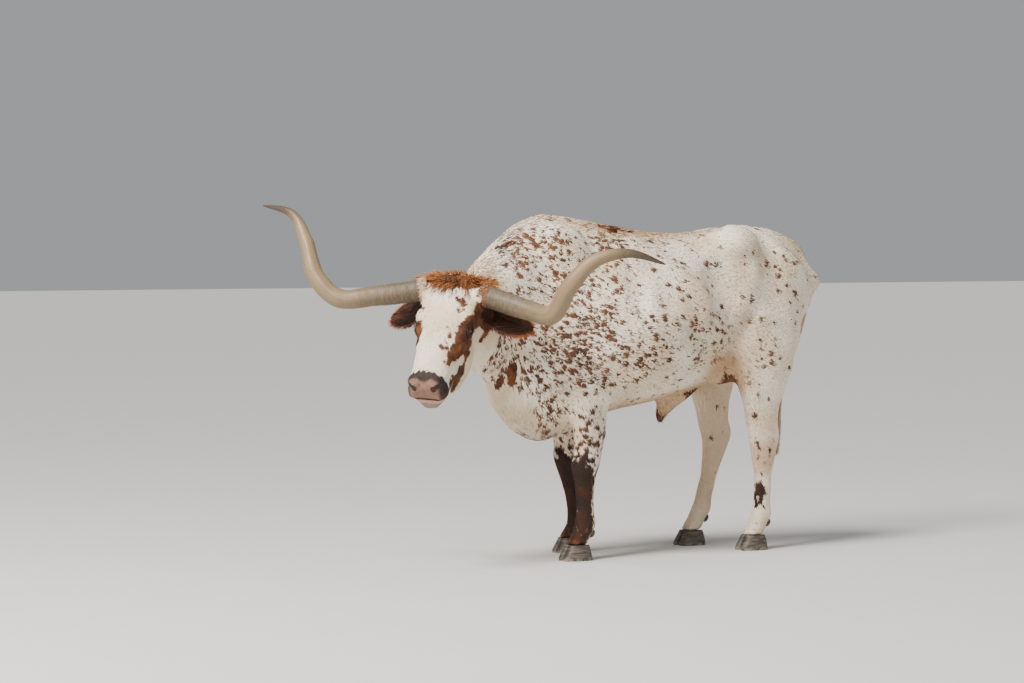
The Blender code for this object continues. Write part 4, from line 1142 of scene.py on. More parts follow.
@dataclass(frozen=True)
class Anatomy:
    """Names places on the animal: its regions, its bare skin and the planes that part it."""

    frame: Frame
    neck_place: tuple = (0.0, 0.03, -0.190)
    neck_lean: tuple = (0.0, -0.60, -0.80)

    def neck_plane(self) -> tuple:
        """A point and the normal, which points back, of the plane between head and neck."""
        return self.frame.on_head(np.array(self.neck_place)), np.array(self.neck_lean) @ self.frame.axes()

    def behind_head(self, points: np.ndarray) -> np.ndarray:
        """How far points lie behind the plane between head and neck."""
        place, normal = self.neck_plane()
        return (points - place) @ normal

    def regions(self, points: np.ndarray) -> np.ndarray:
        """The region of each point of the skin.

        Args:
            points: model points.

        Returns:
            The region's number for each.
        """
        forward, left, up = self.frame.places(points).T
        found = np.full(len(points), Region.TRUNK.value)
        found[forward > 1.50] = Region.NECK.value
        found[self.behind_head(points) < 0.0] = Region.HEAD.value
        fore = (forward > 0.98) & (forward < 1.48) & (up < 0.62)
        hind = (forward < 0.56) & (up < 0.76)
        found[fore & (left > 0)] = Region.FORE_LEFT.value
        found[fore & (left <= 0)] = Region.FORE_RIGHT.value
        found[hind & (left > 0)] = Region.HIND_LEFT.value
        found[hind & (left <= 0)] = Region.HIND_RIGHT.value
        return found

    def on_muzzle(self, points: np.ndarray) -> np.ndarray:
        """How far each point belongs to the bare muzzle and lips, 0 to 1.

        Args:
            points: model points.

        Returns:
            A share for each.
        """
        across, down, out = self.frame.head(points).T
        edge = 0.476 + 0.16 * np.abs(across) + 0.006 * swirl(points, 40.0, 3)
        edge = edge + 1.1 * np.maximum(0.0, -0.116 - out)
        lower = ramp(out, -0.182, -0.164)
        pad = ramp(down - edge, -0.003, 0.006) * lower
        lips = ramp(np.abs(out + 0.112), 0.014, 0.006) * ramp(down, 0.435, 0.455)
        return np.maximum(pad, lips) * (self.behind_head(points) < -0.05)

    def by_eye(self, points: np.ndarray) -> np.ndarray:
        """The nearer eye's distance from each point, 1 at the rim of the lids.

        Args:
            points: model points.

        Returns:
            A distance for each.
        """
        near = np.full(len(points), FAR)
        for side in SIDES:
            eye = EyePlace(self.frame, side)
            level, rise, look = eye.local(points).T
            near = np.minimum(near, np.where((look > -0.01) & (look < 0.05), eye.off_rim(level, rise), FAR))
        return near

    def in_nostril(self, points: np.ndarray) -> np.ndarray:
        """How far each point lies in or at the rim of a nostril, 0 to 1."""
        on_head = self.frame.head(points)
        away = [HeadForm.off_nostril(on_head, centre, radii) for centre, radii in HeadForm.nostrils]
        return ramp(np.minimum(np.minimum(*away), FAR), 1.26, 1.04)

    def bare(self, points: np.ndarray) -> np.ndarray:
        """How bare the skin is at each point."""
        lids = ramp(self.by_eye(points), 1.32, 1.18)
        return np.maximum(np.maximum(self.on_muzzle(points), lids), self.in_nostril(points))

    def bare_tone_and_painted_light(self, points: np.ndarray) -> np.ndarray:
        """For bare skin, how grey and how pink it is; the grey holds painted shade and a painted highlight.

        Args:
            points: model points.

        Returns:
            Rows of grey, pink, nothing and one.
        """
        across, down, out = self.frame.head(points).T
        rim = ramp(down - 0.25 * np.abs(np.abs(across) - 0.030), 0.532, 0.512) * 0.96
        flank = ramp(across, 0.052, 0.070) * 0.92 + ramp(-across, 0.060, 0.076) * 0.75
        # the nostrils are painted dark inside and at the rim: painted shade in the nostrils
        grey = np.maximum(np.maximum(rim, flank), self.in_nostril(points) * 0.95)
        # under: below each eye; the lids' grey is lowered there, a painted highlight along the lower lid
        under = np.zeros(len(points))
        for side in SIDES:
            level, rise, look = EyePlace(self.frame, side).local(points).T
            beside = (np.abs(level) < 0.03) * (np.abs(look) < 0.05)
            under = np.maximum(under, ramp(rise, -0.006, -0.013) * beside)
        lids = ramp(self.by_eye(points), 2.0, 1.4) * (0.92 - 0.60 * under)
        # slit: a dark band along the line of the mouth, painted shade in the mouth's gap
        slit = ramp(np.abs(out + 0.111), 0.010, 0.004) * 0.95
        chin = ramp(out, -0.134, -0.146) * 0.45
        grey = np.maximum(grey * ramp(out, -0.125, -0.100), lids)
        grey = np.maximum(grey, np.maximum(slit, chin))
        pink = ramp(out, -0.108, -0.116)
        return np.column_stack([np.clip(grey, 0, 1), pink, np.zeros(len(points)), np.ones(len(points))])


@dataclass(frozen=True)
class Markings:
    """The steer's own markings, as amounts that the coat's finish breaks into spots and edges."""

    anatomy: Anatomy
    # Patches on the body: place forward, left and up, reach each way, and amount.
    body_patches: tuple = (
        (Channel.FLECKS, (
            ((1.58, 0.16, 0.98), (0.22, 0.24, 0.28), 0.55), ((1.48, 0.18, 0.80), (0.20, 0.24, 0.22), 0.42),
            ((1.52, 0.12, 1.34), (0.18, 0.18, 0.15), 0.52), ((1.40, 0.20, 1.15), (0.30, 0.24, 0.34), 0.34),
            ((1.22, 0.26, 1.00), (0.30, 0.24, 0.30), 0.16), ((1.45, 0.16, 1.00), (0.16, 0.24, 0.30), 0.25),
            ((1.64, 0.04, 0.66), (0.20, 0.24, 0.16), -0.75),
            ((1.70, 0.10, 1.24), (0.13, 0.18, 0.11), -0.70),
            ((1.060, 0.100, 1.420), (0.20, 0.14, 0.110), 0.60),
            ((0.700, 0.26, 0.980), (0.26, 0.16, 0.16), 0.22),
        )),
        (Channel.BROWN, (
            ((1.614, 0.127, 0.850), (0.027, 0.08, 0.048), 1.3),
            ((1.606, 0.120, 0.806), (0.022, 0.08, 0.040), 1.3),
            ((1.650, 0.086, 0.780), (0.022, 0.06, 0.030), 1.3),
            ((1.738, 0.170, 0.900), (0.022, 0.05, 0.040), 0.85),
            ((1.726, 0.160, 0.850), (0.018, 0.05, 0.036), 0.80),
            ((1.050, 0.060, 1.470), (0.14, 0.10, 0.070), 0.60),
            ((0.340, 0.215, 0.450), (0.09, 0.07, 0.10), 0.30),
            ((0.520, 0.175, 0.745), (0.070, 0.06, 0.105), 0.88),
            # this patch and the next, and the tan patches at 0.70 and 0.90 forward low on the middle line,
            # make the underside of the belly browner and warmer
            ((0.580, 0.000, 0.710), (0.12, 0.16, 0.045), 0.80),
            ((0.800, 0.0, 0.600), (0.10, 0.08, 0.06), 0.60),
        )),
        (Channel.DARK, (
            ((0.350, 0.190, 0.255), (0.050, 0.06, 0.090), 0.72),
        )),
        (Channel.TAN, (
            ((1.031, 0.040, 1.475), (0.30, 0.16, 0.090), 0.7),
            ((0.760, 0.0, 1.440), (0.45, 0.14, 0.080), 0.7), ((0.700, 0.0, 0.640), (0.24, 0.20, 0.18), 1.0),
            ((0.520, 0.150, 0.800), (0.18, 0.16, 0.16), 0.8),
            ((0.520, -0.150, 0.800), (0.18, 0.16, 0.16), 0.9),
            ((0.900, 0.0, 0.640), (0.50, 0.28, 0.14), 1.0), ((0.050, 0.0, 1.380), (0.26, 0.20, 0.16), 0.6),
            ((0.300, 0.0, 1.000), (0.42, 0.30, 0.50), 0.22),
            ((0.40, -0.160, 0.280), (0.20, 0.10, 0.34), 0.30),
            ((0.340, 0.215, 0.430), (0.10, 0.08, 0.10), 0.80),
            ((0.530, 0.170, 0.760), (0.10, 0.09, 0.14), 1.0),
        )),
    )
    # Patches on the head: place across, down and out, reach each way, and amount.
    head_patches: tuple = (
        (Channel.FLECKS, (
            ((0.062, 0.118, -0.004), (0.050, 0.070, 0.040), 0.60),
            ((0.0, 0.36, 0.0), (0.090, 0.160, 0.060), 0.34),
            ((0.07, 0.30, -0.02), (0.045, 0.150, 0.060), 0.46),
        )),
        (Channel.BROWN, (
            ((0.132, 0.100, -0.090), (0.050, 0.080, 0.075), 1.15),
            ((0.150, 0.090, -0.150), (0.060, 0.070, 0.060), 1.0),
            ((0.124, 0.160, -0.070), (0.030, 0.060, 0.050), 0.9),
            ((0.112, 0.232, -0.040), (0.050, 0.082, 0.062), 1.15),
            ((0.100, 0.300, -0.082), (0.050, 0.082, 0.105), 0.95),
            ((0.080, 0.372, -0.042), (0.034, 0.062, 0.046), 0.85),
            ((0.100, 0.375, -0.140), (0.034, 0.070, 0.052), 0.85),
            ((0.086, 0.446, -0.135), (0.038, 0.048, 0.072), 0.95),
            ((0.098, 0.342, -0.108), (0.034, 0.028, 0.026), -2.2),
            ((0.088, 0.402, -0.082), (0.034, 0.022, 0.036), -2.2),
            ((0.106, 0.276, -0.030), (0.024, 0.022, 0.012), -1.0),
            ((0.118, 0.300, -0.170), (0.030, 0.060, 0.026), -1.0),
            ((0.062, 0.112, -0.004), (0.046, 0.066, 0.040), 0.62),
            ((0.135, 0.160, -0.190), (0.030, 0.060, 0.022), 0.85),
            ((0.158, 0.040, -0.035), (0.028, 0.070, 0.060), 0.90),
            ((-0.102, 0.262, -0.045), (0.034, 0.085, 0.048), 1.05),
            ((-0.135, 0.110, -0.110), (0.055, 0.080, 0.070), 1.05),
            ((-0.122, 0.235, -0.095), (0.045, 0.090, 0.075), 1.00),
            ((-0.112, 0.320, -0.140), (0.045, 0.085, 0.070), 0.90),
            ((-0.098, 0.415, -0.165), (0.040, 0.050, 0.045), 0.85),
            ((-0.104, 0.165, -0.008), (0.026, 0.036, 0.030), 0.66),
            ((0.0, 0.004, -0.030), (0.165, 0.056, 0.080), 1.2),
        )),
        (Channel.DARK, (
            ((0.140, 0.100, -0.110), (0.040, 0.060, 0.060), 0.55),
            ((0.108, 0.236, -0.046), (0.028, 0.044, 0.040), 0.72),
            ((-0.108, 0.236, -0.050), (0.030, 0.046, 0.040), 0.70),
            ((0.0, 0.020, -0.010), (0.070, 0.040, 0.050), 0.50),
        )),
        (Channel.TAN, (
            ((-0.150, 0.070, -0.040), (0.050, 0.050, 0.050), 0.90),
        )),
    )

    def at(self, points: np.ndarray) -> np.ndarray:
        """Flecks, brown, dark and tan at each point of the skin.

        Args:
            points: model points.

        Returns:
            An array of four columns.
        """
        frame = self.anatomy.frame
        places, on_head = frame.places(points), frame.head(points)
        is_head = self.anatomy.behind_head(points) < 0.02
        forward, _, up = places.T
        marks = np.zeros((len(points), len(Channel)))
        marks[:, FLECKS] = 0.50 + 0.14 * ramp(forward, 0.50, 1.00) - 0.24 * ramp(up, 0.80, 0.70)
        marks[:, FLECKS] += ramp(up, 0.76, 0.62) * np.where(forward > 0.80, 0.40, 0.10)
        marks[is_head, FLECKS] = 0.0
        for patches, rows, where in ((self.body_patches, ~is_head, places[~is_head]),
                                     (self.head_patches, is_head, on_head[is_head])):
            for channel, table in patches:
                for centre, radii, amount in table:
                    away = np.sqrt((((where - centre) / radii) ** 2).sum(axis=1))
                    marks[rows, channel.value] += amount * ramp(away, 1.15, 0.35)
        self.add_socks(places, marks)
        return np.clip(marks, 0.0, 1.0)

    def add_socks(self, places: np.ndarray, marks: np.ndarray) -> None:
        """The forelegs' dark fronts below the knee, reddish near the hoof, white at the back.

        Args:
            places: the points, forward, left and up.
            marks: the marks, which it changes.
        """
        forward, _, up = places.T
        for name in ("fore_left", "fore_right"):
            joints = np.array(LEG_JOINTS[name])
            line = np.interp(up, joints[::-1, 2], joints[::-1, 0])
            side = np.sign(joints[0, 1])
            own = (np.sign(places[:, 1]) == side) & (up < 0.56) & (forward > 0.98) & (forward < 1.48)
            front = ramp(forward - line + 0.012 * swirl(places, 16.0, 33), -0.050, 0.020)
            low = ramp(up + 0.030 * swirl(places, 20.0, 34), 0.540, 0.400)
            marks[:, DARK] += own * front * low * 0.92
            marks[:, BROWN] += own * front * ramp(up, 0.22, 0.10) * 0.9
            marks[:, DARK] -= own * ramp(up, 0.18, 0.08) * 0.55
            marks[:, FLECKS] += own * (0.20 + 0.25 * low)


@dataclass
class Surface:
    """A mesh's points, triangles and normals, to grow hair on."""

    points: np.ndarray
    normals: np.ndarray
    triangles: np.ndarray

    @classmethod
    def of(cls, obj: Object) -> Surface:
        """The surface of an object."""
        mesh = obj.data
        mesh.calc_loop_triangles()
        found = np.zeros(len(mesh.loop_triangles) * 3, int)
        mesh.loop_triangles.foreach_get("vertices", found)
        return cls(coordinates(mesh), normals(mesh), found.reshape(-1, 3))

    def height_over(self, places: np.ndarray) -> np.ndarray:
        """How far each place stands over the surface near it, less than 0 under it.

        Args:
            places: points in the surface's own frame.

        Returns:
            A height for each.
        """
        tree = KDTree(len(self.points))
        for index, point in enumerate(self.points):
            tree.insert(point, index)
        tree.balance()
        near = np.array([tree.find(place)[1] for place in places])
        return ((places - self.points[near]) * self.normals[near]).sum(axis=1)

    def scattered(self, spacing: np.ndarray, draw: np.random.Generator) -> tuple:
        """Points spread over the surface.

        Args:
            spacing: for each point of the mesh, the distance between neighbours there, or 0 for none.
            draw: the source of chance.

        Returns:
            The points and the normals there.
        """
        corners = self.points[self.triangles]
        edges = np.cross(corners[:, 1] - corners[:, 0], corners[:, 2] - corners[:, 0])
        areas = np.linalg.norm(edges, axis=1) / 2
        near = spacing[self.triangles]
        wanted = np.where(near.min(axis=1) > 0.0, areas / np.maximum(near.mean(axis=1), 1e-4) ** 2, 0.0)
        total = np.cumsum(wanted)
        count = int(total[-1])
        steps = np.arange(count) + draw.uniform(size=count)
        chosen = self.triangles[np.minimum(np.searchsorted(total, steps), len(total) - 1)]
        a, b = draw.uniform(size=(2, count))
        flip = a + b > 1.0
        a, b = np.where(flip, 1 - a, a), np.where(flip, 1 - b, b)
        weights = np.stack([1 - a - b, a, b], axis=1)[:, :, None]
        return (self.points[chosen] * weights).sum(axis=1), unit((self.normals[chosen] * weights).sum(axis=1))


class Unwrap:
    """A flat layout of the skin: each region seen along each axis, packed side by side."""

    def __init__(self, surfaces: list) -> None:
        """Lays out the charts.

        Args:
            surfaces: pairs of region numbers and Surface, one pair for each skinned piece.
        """
        boxes = {}
        for regions, surface in surfaces:
            chart, flat = self.charts(surface.points, surface.normals, regions)
            for key in np.unique(chart):
                rows = flat[chart == key]
                low, high = boxes.get(key, (rows.min(axis=0), rows.max(axis=0)))
                boxes[key] = (np.minimum(low, rows.min(axis=0)), np.maximum(high, rows.max(axis=0)))
        self.offset = {}
        order = sorted(boxes, key=lambda key: -(boxes[key][1][1] - boxes[key][0][1]))
        width = math.sqrt(sum(np.prod(high - low + 0.04) for low, high in boxes.values())) * 1.12
        x = y = row_height = reach = 0.0
        for key in order:
            low, high = boxes[key]
            size = high - low + 0.04
            if x + size[0] > width:
                x, y, row_height = 0.0, y + row_height, 0.0
            self.offset[key] = np.array((x, y)) - low + 0.02
            x += size[0]
            row_height = max(row_height, size[1])
            reach = max(reach, x, y + row_height)
        self.scale = 0.98 / reach

    @staticmethod
    def charts(points: np.ndarray, normal: np.ndarray, regions: np.ndarray) -> tuple:
        """Each point's chart and its flat place on it, in metres.

        Args:
            points: model points.
            normal: the normals there.
            regions: the regions' numbers there.

        Returns:
            The number of each point's chart and its place on it.
        """
        axis = np.abs(normal).argmax(axis=1)
        positive = normal[np.arange(len(normal)), axis] > 0
        flat = np.where((axis == 0)[:, None], points[:, [1, 2]],
                        np.where((axis == 1)[:, None], points[:, [0, 2]], points[:, [0, 1]]))
        return regions * 6 + axis * 2 + positive, flat

    def locate(self, points: np.ndarray, normal: np.ndarray, regions: np.ndarray) -> np.ndarray:
        """Where points lie on the layout.

        Args:
            points: model points.
            normal: the normals there.
            regions: the regions' numbers there.

        Returns:
            Places on the map, from 0 to 1.
        """
        chart, flat = self.charts(points, normal, regions)
        known = np.array([self.offset.get(key, (0.0, 0.0)) for key in range(6 * len(Region))])
        return np.clip((flat + known[chart]) * self.scale + 0.01, 0.002, 0.998)

    def lay(self, obj: Object, regions: np.ndarray) -> None:
        """Gives an object the layout as its map for baking, face by face.

        Args:
            obj: the object.
            regions: the region's number at each of its points.
        """
        mesh = obj.data
        corners = np.zeros(len(mesh.loops), int)
        mesh.loops.foreach_get("vertex_index", corners)
        totals = np.zeros(len(mesh.polygons), int)
        mesh.polygons.foreach_get("loop_total", totals)
        face = np.repeat(np.arange(len(totals)), totals)
        face_normals = np.zeros(len(totals) * 3)
        mesh.polygons.foreach_get("normal", face_normals)
        starts = np.concatenate([[0], np.cumsum(totals)[:-1]])
        face_region = regions[corners[starts]]
        spots = self.locate(coordinates(mesh)[corners], face_normals.reshape(-1, 3)[face], face_region[face])
        layer = mesh.uv_layers.new(name=BAKE_MAP)
        layer.uv.foreach_set("vector", spots.astype(np.float32).ravel())


@dataclass(frozen=True)
class HairShape:
    """How a tuft or lock is built: places along it with its breadth there, its sides and its root."""

    places: tuple
    breadths: tuple
    sides: int


TUFT = HairShape((-0.12, 0.45, 1.0), (0.72, 1.0, 0.0), 3)
LOCK = HairShape((-0.15, 0.12, 0.36, 0.60, 0.82, 1.0), (0.60, 0.95, 1.0, 0.80, 0.45, 0.0), 4)
LASH = HairShape((-0.10, 0.35, 0.70, 1.0), (0.9, 1.0, 0.6, 0.0), 3)


@dataclass
class Hair:
    """Tufts or locks ready to be built: one row each."""

    roots: np.ndarray
    along: np.ndarray
    side: np.ndarray
    bend: np.ndarray
    lengths: np.ndarray
    halves: np.ndarray
    thick: np.ndarray
    marks: np.ndarray
    spots: np.ndarray
    shape: HairShape = TUFT

    def rows(self) -> list:
        """What it has a row of for each tuft."""
        return [self.roots, self.along, self.side, self.bend, self.lengths, self.halves, self.thick,
                self.marks, self.spots]

    def part(self, chosen: np.ndarray) -> Hair:
        """Some of the tufts."""
        return Hair(*(values[chosen] for values in self.rows()), self.shape)

    @classmethod
    def joined(cls, parts: list) -> Hair:
        """Several lots of hair of one shape as one."""
        return cls(*(np.concatenate(lot) for lot in zip(*(part.rows() for part in parts))), parts[0].shape)

    def build(self, name: str, draw: np.random.Generator) -> Object:
        """One mesh of all the tufts, closed at root and tip.

        Args:
            name: the object's name.
            draw: the source of chance for each tuft's tone.

        Returns:
            The object, with root, marks and strand kept on it and the map for baking.
        """
        count, sides = len(self.roots), self.shape.sides
        places = np.array(self.shape.places)
        rings = len(places) - 1
        flat = np.cross(self.along, self.side)
        reach = places[None, :, None] * self.lengths[:, None, None]
        arc = np.maximum(places, 0.0)[None, :, None] ** 2 * self.lengths[:, None, None]
        centres = self.roots[:, None] + self.along[:, None] * reach + self.bend[:, None] * arc
        angles = np.linspace(0.0, math.tau, sides, endpoint=False) + (math.pi / 2 if sides == 3 else 0.0)
        share = np.array(self.shape.breadths)[:-1]
        wide = (self.halves[:, None] * share)[:, :, None, None] * np.cos(angles)[None, None, :, None]
        high = (self.thick[:, None] * share)[:, :, None, None] * np.sin(angles)[None, None, :, None]
        body = centres[:, :-1, None] + wide * self.side[:, None, None] + high * flat[:, None, None]
        per = rings * sides + 1
        points = np.concatenate([body.reshape(count, -1, 3), centres[:, -1:]], axis=1)
        quads = []
        for ring in range(rings - 1):
            for k in range(sides):
                a, b = ring * sides + k, ring * sides + (k + 1) % sides
                quads.append((a, b, b + sides, a + sides))
        last = (rings - 1) * sides
        tips = [(last + k, last + (k + 1) % sides, per - 1) for k in range(sides)]
        cap = tuple(range(sides))[::-1]
        pattern = np.concatenate([np.ravel(quads), np.ravel(tips), cap]).astype(int)
        sizes = np.array([4] * len(quads) + [3] * len(tips) + [sides])
        corners = (pattern[None] + (np.arange(count) * per)[:, None]).ravel()
        totals = np.tile(sizes, count)
        mesh = bpy.data.meshes.new(name)
        mesh.vertices.add(count * per)
        mesh.vertices.foreach_set("co", points.astype(np.float32).ravel())
        mesh.loops.add(len(corners))
        mesh.loops.foreach_set("vertex_index", corners.astype(np.int32))
        mesh.polygons.add(len(totals))
        starts = np.concatenate([[0], np.cumsum(totals)[:-1]])
        mesh.polygons.foreach_set("loop_start", starts.astype(np.int32))
        mesh.update(calc_edges=True)
        store(mesh, "root", np.repeat(self.roots, per, axis=0))
        store(mesh, "marks", np.repeat(self.marks, per, axis=0))
        along = np.append(np.repeat(np.maximum(places[:-1], 0.0), sides), 1.0)
        strand = np.zeros((count, per, 4))
        strand[:, :, 0] = along
        strand[:, :, 1] = draw.uniform(size=(count, 1))
        strand[:, :, 3] = 1.0
        store(mesh, "strand", strand.reshape(-1, 4))
        across = np.append(np.tile(np.arange(sides) / sides - 0.35, rings), 0.0)
        local = np.stack([across, along - 0.5], axis=1) * PATCH
        spots = (self.spots[:, None] + local[None]).reshape(-1, 2)[corners]
        layer = mesh.uv_layers.new(name=BAKE_MAP)
        layer.uv.foreach_set("vector", spots.astype(np.float32).ravel())
        return object_of(name, mesh)


@dataclass(frozen=True)
class Lie:
    """Which way the coat lies, how long it is and how close it grows."""

    anatomy: Anatomy
    whorl: tuple = (0.014, 0.195, 0.0)

    def direction(self, points: np.ndarray, normal: np.ndarray) -> np.ndarray:
        """The lie of the hair along the skin at each point.

        Args:
            points: model points.
            normal: the skin's normals there.

        Returns:
            A direction for each, one long.
        """
        frame = self.anatomy.frame
        forward, _, up = frame.places(points).T
        count = len(points)
        body = np.column_stack([-np.ones(count), np.zeros(count), -0.45 * np.ones(count)])
        body[:, 2] -= 2.6 * ramp(up, 0.80, 0.60)
        body[:, 2] -= 0.9 * ramp(forward, 1.42, 1.60) * ramp(up, 1.30, 1.05)
        body[:, 0] += 0.7 * ramp(forward, 1.45, 1.65) * ramp(up, 1.10, 0.80)
        run = body * np.array((-1.0, -1.0, 1.0))
        on_head = frame.head(points)
        around = on_head - np.array(self.whorl)
        around[:, 2] = 0.0
        radial = unit(around)
        swept = np.column_stack([0.35 * np.sign(on_head[:, 0]), -0.25 * np.ones(count), -np.ones(count)])
        cheek = ramp(on_head[:, 2], -0.030, -0.110)[:, None]
        face = (radial * (1.0 - cheek) + swept * cheek) @ frame.axes()
        share = ramp(self.anatomy.behind_head(points), 0.03, -0.06)[:, None]
        found = run * (1.0 - share) + face * share
        side = np.cross(normal, found)
        turned = found + side * (0.22 * swirl(points, 3.5, 7) + 0.12 * swirl(points, 14.0, 8))[:, None]
        return unit(turned - normal * (turned * normal).sum(axis=1, keepdims=True))

    def size(self, points: np.ndarray) -> np.ndarray:
        """The size of tufts at each point: 1 on the trunk, less on face and legs.

        Args:
            points: model points.

        Returns:
            A size for each.
        """
        frame = self.anatomy.frame
        up = frame.places(points)[:, 2]
        down = frame.head(points)[:, 1]
        size = 1.0 - 0.42 * ramp(up, 0.72, 0.50) - 0.12 * ramp(up, 0.30, 0.10)
        head = ramp(self.anatomy.behind_head(points), 0.02, -0.06)
        face = 0.62 - 0.20 * ramp(down, 0.18, 0.44)
        return size * (1.0 - head) + face * head

    def stretch(self, points: np.ndarray) -> np.ndarray:
        """How much longer than usual the hair is at each point.

        Args:
            points: model points.

        Returns:
            A factor for each.
        """
        frame = self.anatomy.frame
        forward, left, up = frame.places(points).T
        off_crest = np.abs(left - 0.12 * ramp(forward, 1.5, 1.8))
        crest = ramp(off_crest, 0.09, 0.02) * ramp(forward, 1.20, 1.50) * ramp(up, 1.15, 1.28)
        belly = ramp(up, 0.70, 0.62) * ramp(np.abs(forward - 0.80), 0.22, 0.12)
        breast = ramp(up, 0.72, 0.56) * ramp(forward, 1.30, 1.42)
        withers = ramp(np.abs(forward - 1.03), 0.12, 0.03) * ramp(up, 1.42, 1.47)
        return 1.0 + 0.5 * crest + 0.9 * belly + 0.5 * breast + 0.7 * withers


class Skin:
    """One hide over head, neck, trunk and legs, just under the coat."""

    body_voxel = 0.0105
    seam_reach = 0.030
    depths = (0.0050, 0.0018)     # the coat's depth on the trunk and on the face
    # Local rises and hollows: place, reach and height, on both sides.
    forms = (
        ((0.60, 0.23, 1.20), (0.13, 0.16, 0.17), -0.006), ((1.06, 0.28, 1.18), (0.06, 0.14, 0.22), -0.006),
        ((1.45, 0.19, 1.12), (0.05, 0.12, 0.20), -0.006), ((0.17, 0.22, 0.93), (0.030, 0.10, 0.20), -0.007),
        ((1.22, 0.10, 1.50), (0.09, 0.06, 0.05), 0.006), ((0.64, 0.25, 1.24), (0.12, 0.14, 0.14), -0.018),
        ((0.33, 0.24, 1.22), (0.10, 0.12, 0.14), -0.013), ((0.500, 0.22, 1.36), (0.10, 0.10, 0.10), 0.018),
        ((0.62, 0.17, 1.43), (0.12, 0.08, 0.05), 0.012), ((0.38, 0.19, 1.40), (0.10, 0.10, 0.08), 0.020),
        ((0.47, 0.08, 1.43), (0.16, 0.08, 0.06), 0.016), ((0.60, 0.21, 1.38), (0.10, 0.08, 0.08), 0.012),
    )
    # Lines of bone under the hide: points along each, reach and height.
    ridges = (
        (((0.52, 0.18, 1.43), (0.42, 0.22, 1.31), (0.45, 0.25, 1.16), (0.50, 0.25, 1.05)), 0.045, 0.011),
        (((0.98, 0.18, 1.40), (0.84, 0.27, 1.28), (0.74, 0.30, 1.14), (0.70, 0.31, 0.98)), 0.055, 0.011),
        (((1.17, 0.10, 1.50), (1.13, 0.20, 1.38), (1.16, 0.26, 1.22), (1.22, 0.27, 1.08)), 0.050, 0.007),
        (((0.36, 0.25, 1.10), (0.42, 0.25, 1.00), (0.45, 0.24, 0.88)), 0.050, 0.006),
    )
    rib_first, rib_step, rib_count, rib_height = 0.66, 0.066, 8, -0.0018
    rib_radii = (0.030, 0.16, 0.26)
    lips_out = -0.112

    def __init__(self, frame: Frame, anatomy: Anatomy) -> None:
        """Keeps what the skin is set out by."""
        self.frame, self.anatomy = frame, anatomy
        self.obj: Object | None = None

    def build(self, nodes: dict) -> Object:
        """Makes the fine head and the body, sculpts them, zips them together and sinks them.

        Args:
            nodes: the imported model's nodes by name.

        Returns:
            The skin.
        """
        head = HeadForm(self.frame).build()
        body = self.body(nodes, head)
        self.sculpt_body(body.data)
        self.sculpt_head(head.data)
        place, normal = self.anatomy.neck_plane()
        self.open_at(head, place, normal)
        self.open_at(body, place, -normal)
        skin = merged("skin", [head, body])
        self.zip_seam(skin.data, place, normal)
        self.sink(skin.data)
        self.obj = skin
        return skin

    def body(self, nodes: dict, head: Object) -> Object:
        """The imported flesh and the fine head, run together as one skin.

        Args:
            nodes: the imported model's nodes by name.
            head: the fine head, which is kept.

        Returns:
            The new object.
        """
        pieces = [object_of("head_copy", head.data.copy())]
        for name in FLESH[1:]:
            mesh = nodes[name].data.copy()
            set_coordinates(mesh, coordinates(mesh) + normals(mesh) * 0.0010)
            pieces.append(object_of(name + "_copy", mesh))
        return remeshed(merged("body_form", pieces), self.body_voxel, 6)

    @staticmethod
    def press(points: np.ndarray, normal: np.ndarray, centre: np.ndarray, radii: tuple,
              height: float) -> np.ndarray:
        """The moves that raise or sink the skin about a place.

        Args:
            points: the skin's points.
            normal: its normals there.
            centre: the middle of the form.
            radii: how far the form reaches each way.
            height: how far it rises, less than 0 for a hollow.

        Returns:
            A move for each point.
        """
        away = np.sqrt((((points - centre) / radii) ** 2).sum(axis=1))
        return normal * (height * ramp(away, 1.0, 0.0))[:, None]

    def sculpt_body(self, mesh: Mesh) -> None:
        """Hollows, edges of bone, ribs and small folds.

        Args:
            mesh: the body, which it changes.
        """
        points, normal = coordinates(mesh), normals(mesh)
        moves = np.zeros_like(points)
        ribs = tuple(((self.rib_first + index * self.rib_step, 0.30, 1.10), self.rib_radii, self.rib_height)
                     for index in range(self.rib_count))
        for (forward, left, up), radii, height in self.forms + ribs:
            for side in SIDES:
                moves += self.press(points, normal, self.frame.at((forward, side * left, up)), radii, height)
        for line, reach, height in self.ridges:
            for side in SIDES:
                path = self.frame.at(curve([(a, side * b, c) for a, b, c in line], 24))
                away = np.full(len(points), FAR)
                for place in path:
                    away = np.minimum(away, np.linalg.norm(points - place, axis=1))
                moves += normal * (height * ramp(away, reach * 1.6, 0.0))[:, None]
        forward, left, up = self.frame.places(points).T
        folds = ramp(forward, 1.48, 1.60) * ramp(up, 1.25, 1.05) * ramp(up, 0.60, 0.75)
        wave = np.sin((forward * 0.9 + up * 0.35) * math.tau / 0.060 + 1.2 * swirl(points, 2.5, 21))
        moves += normal * (0.0022 * folds * wave)[:, None]
        moves += normal * (0.0012 * swirl(points, 9.0, 22))[:, None]
        set_coordinates(mesh, points + moves)

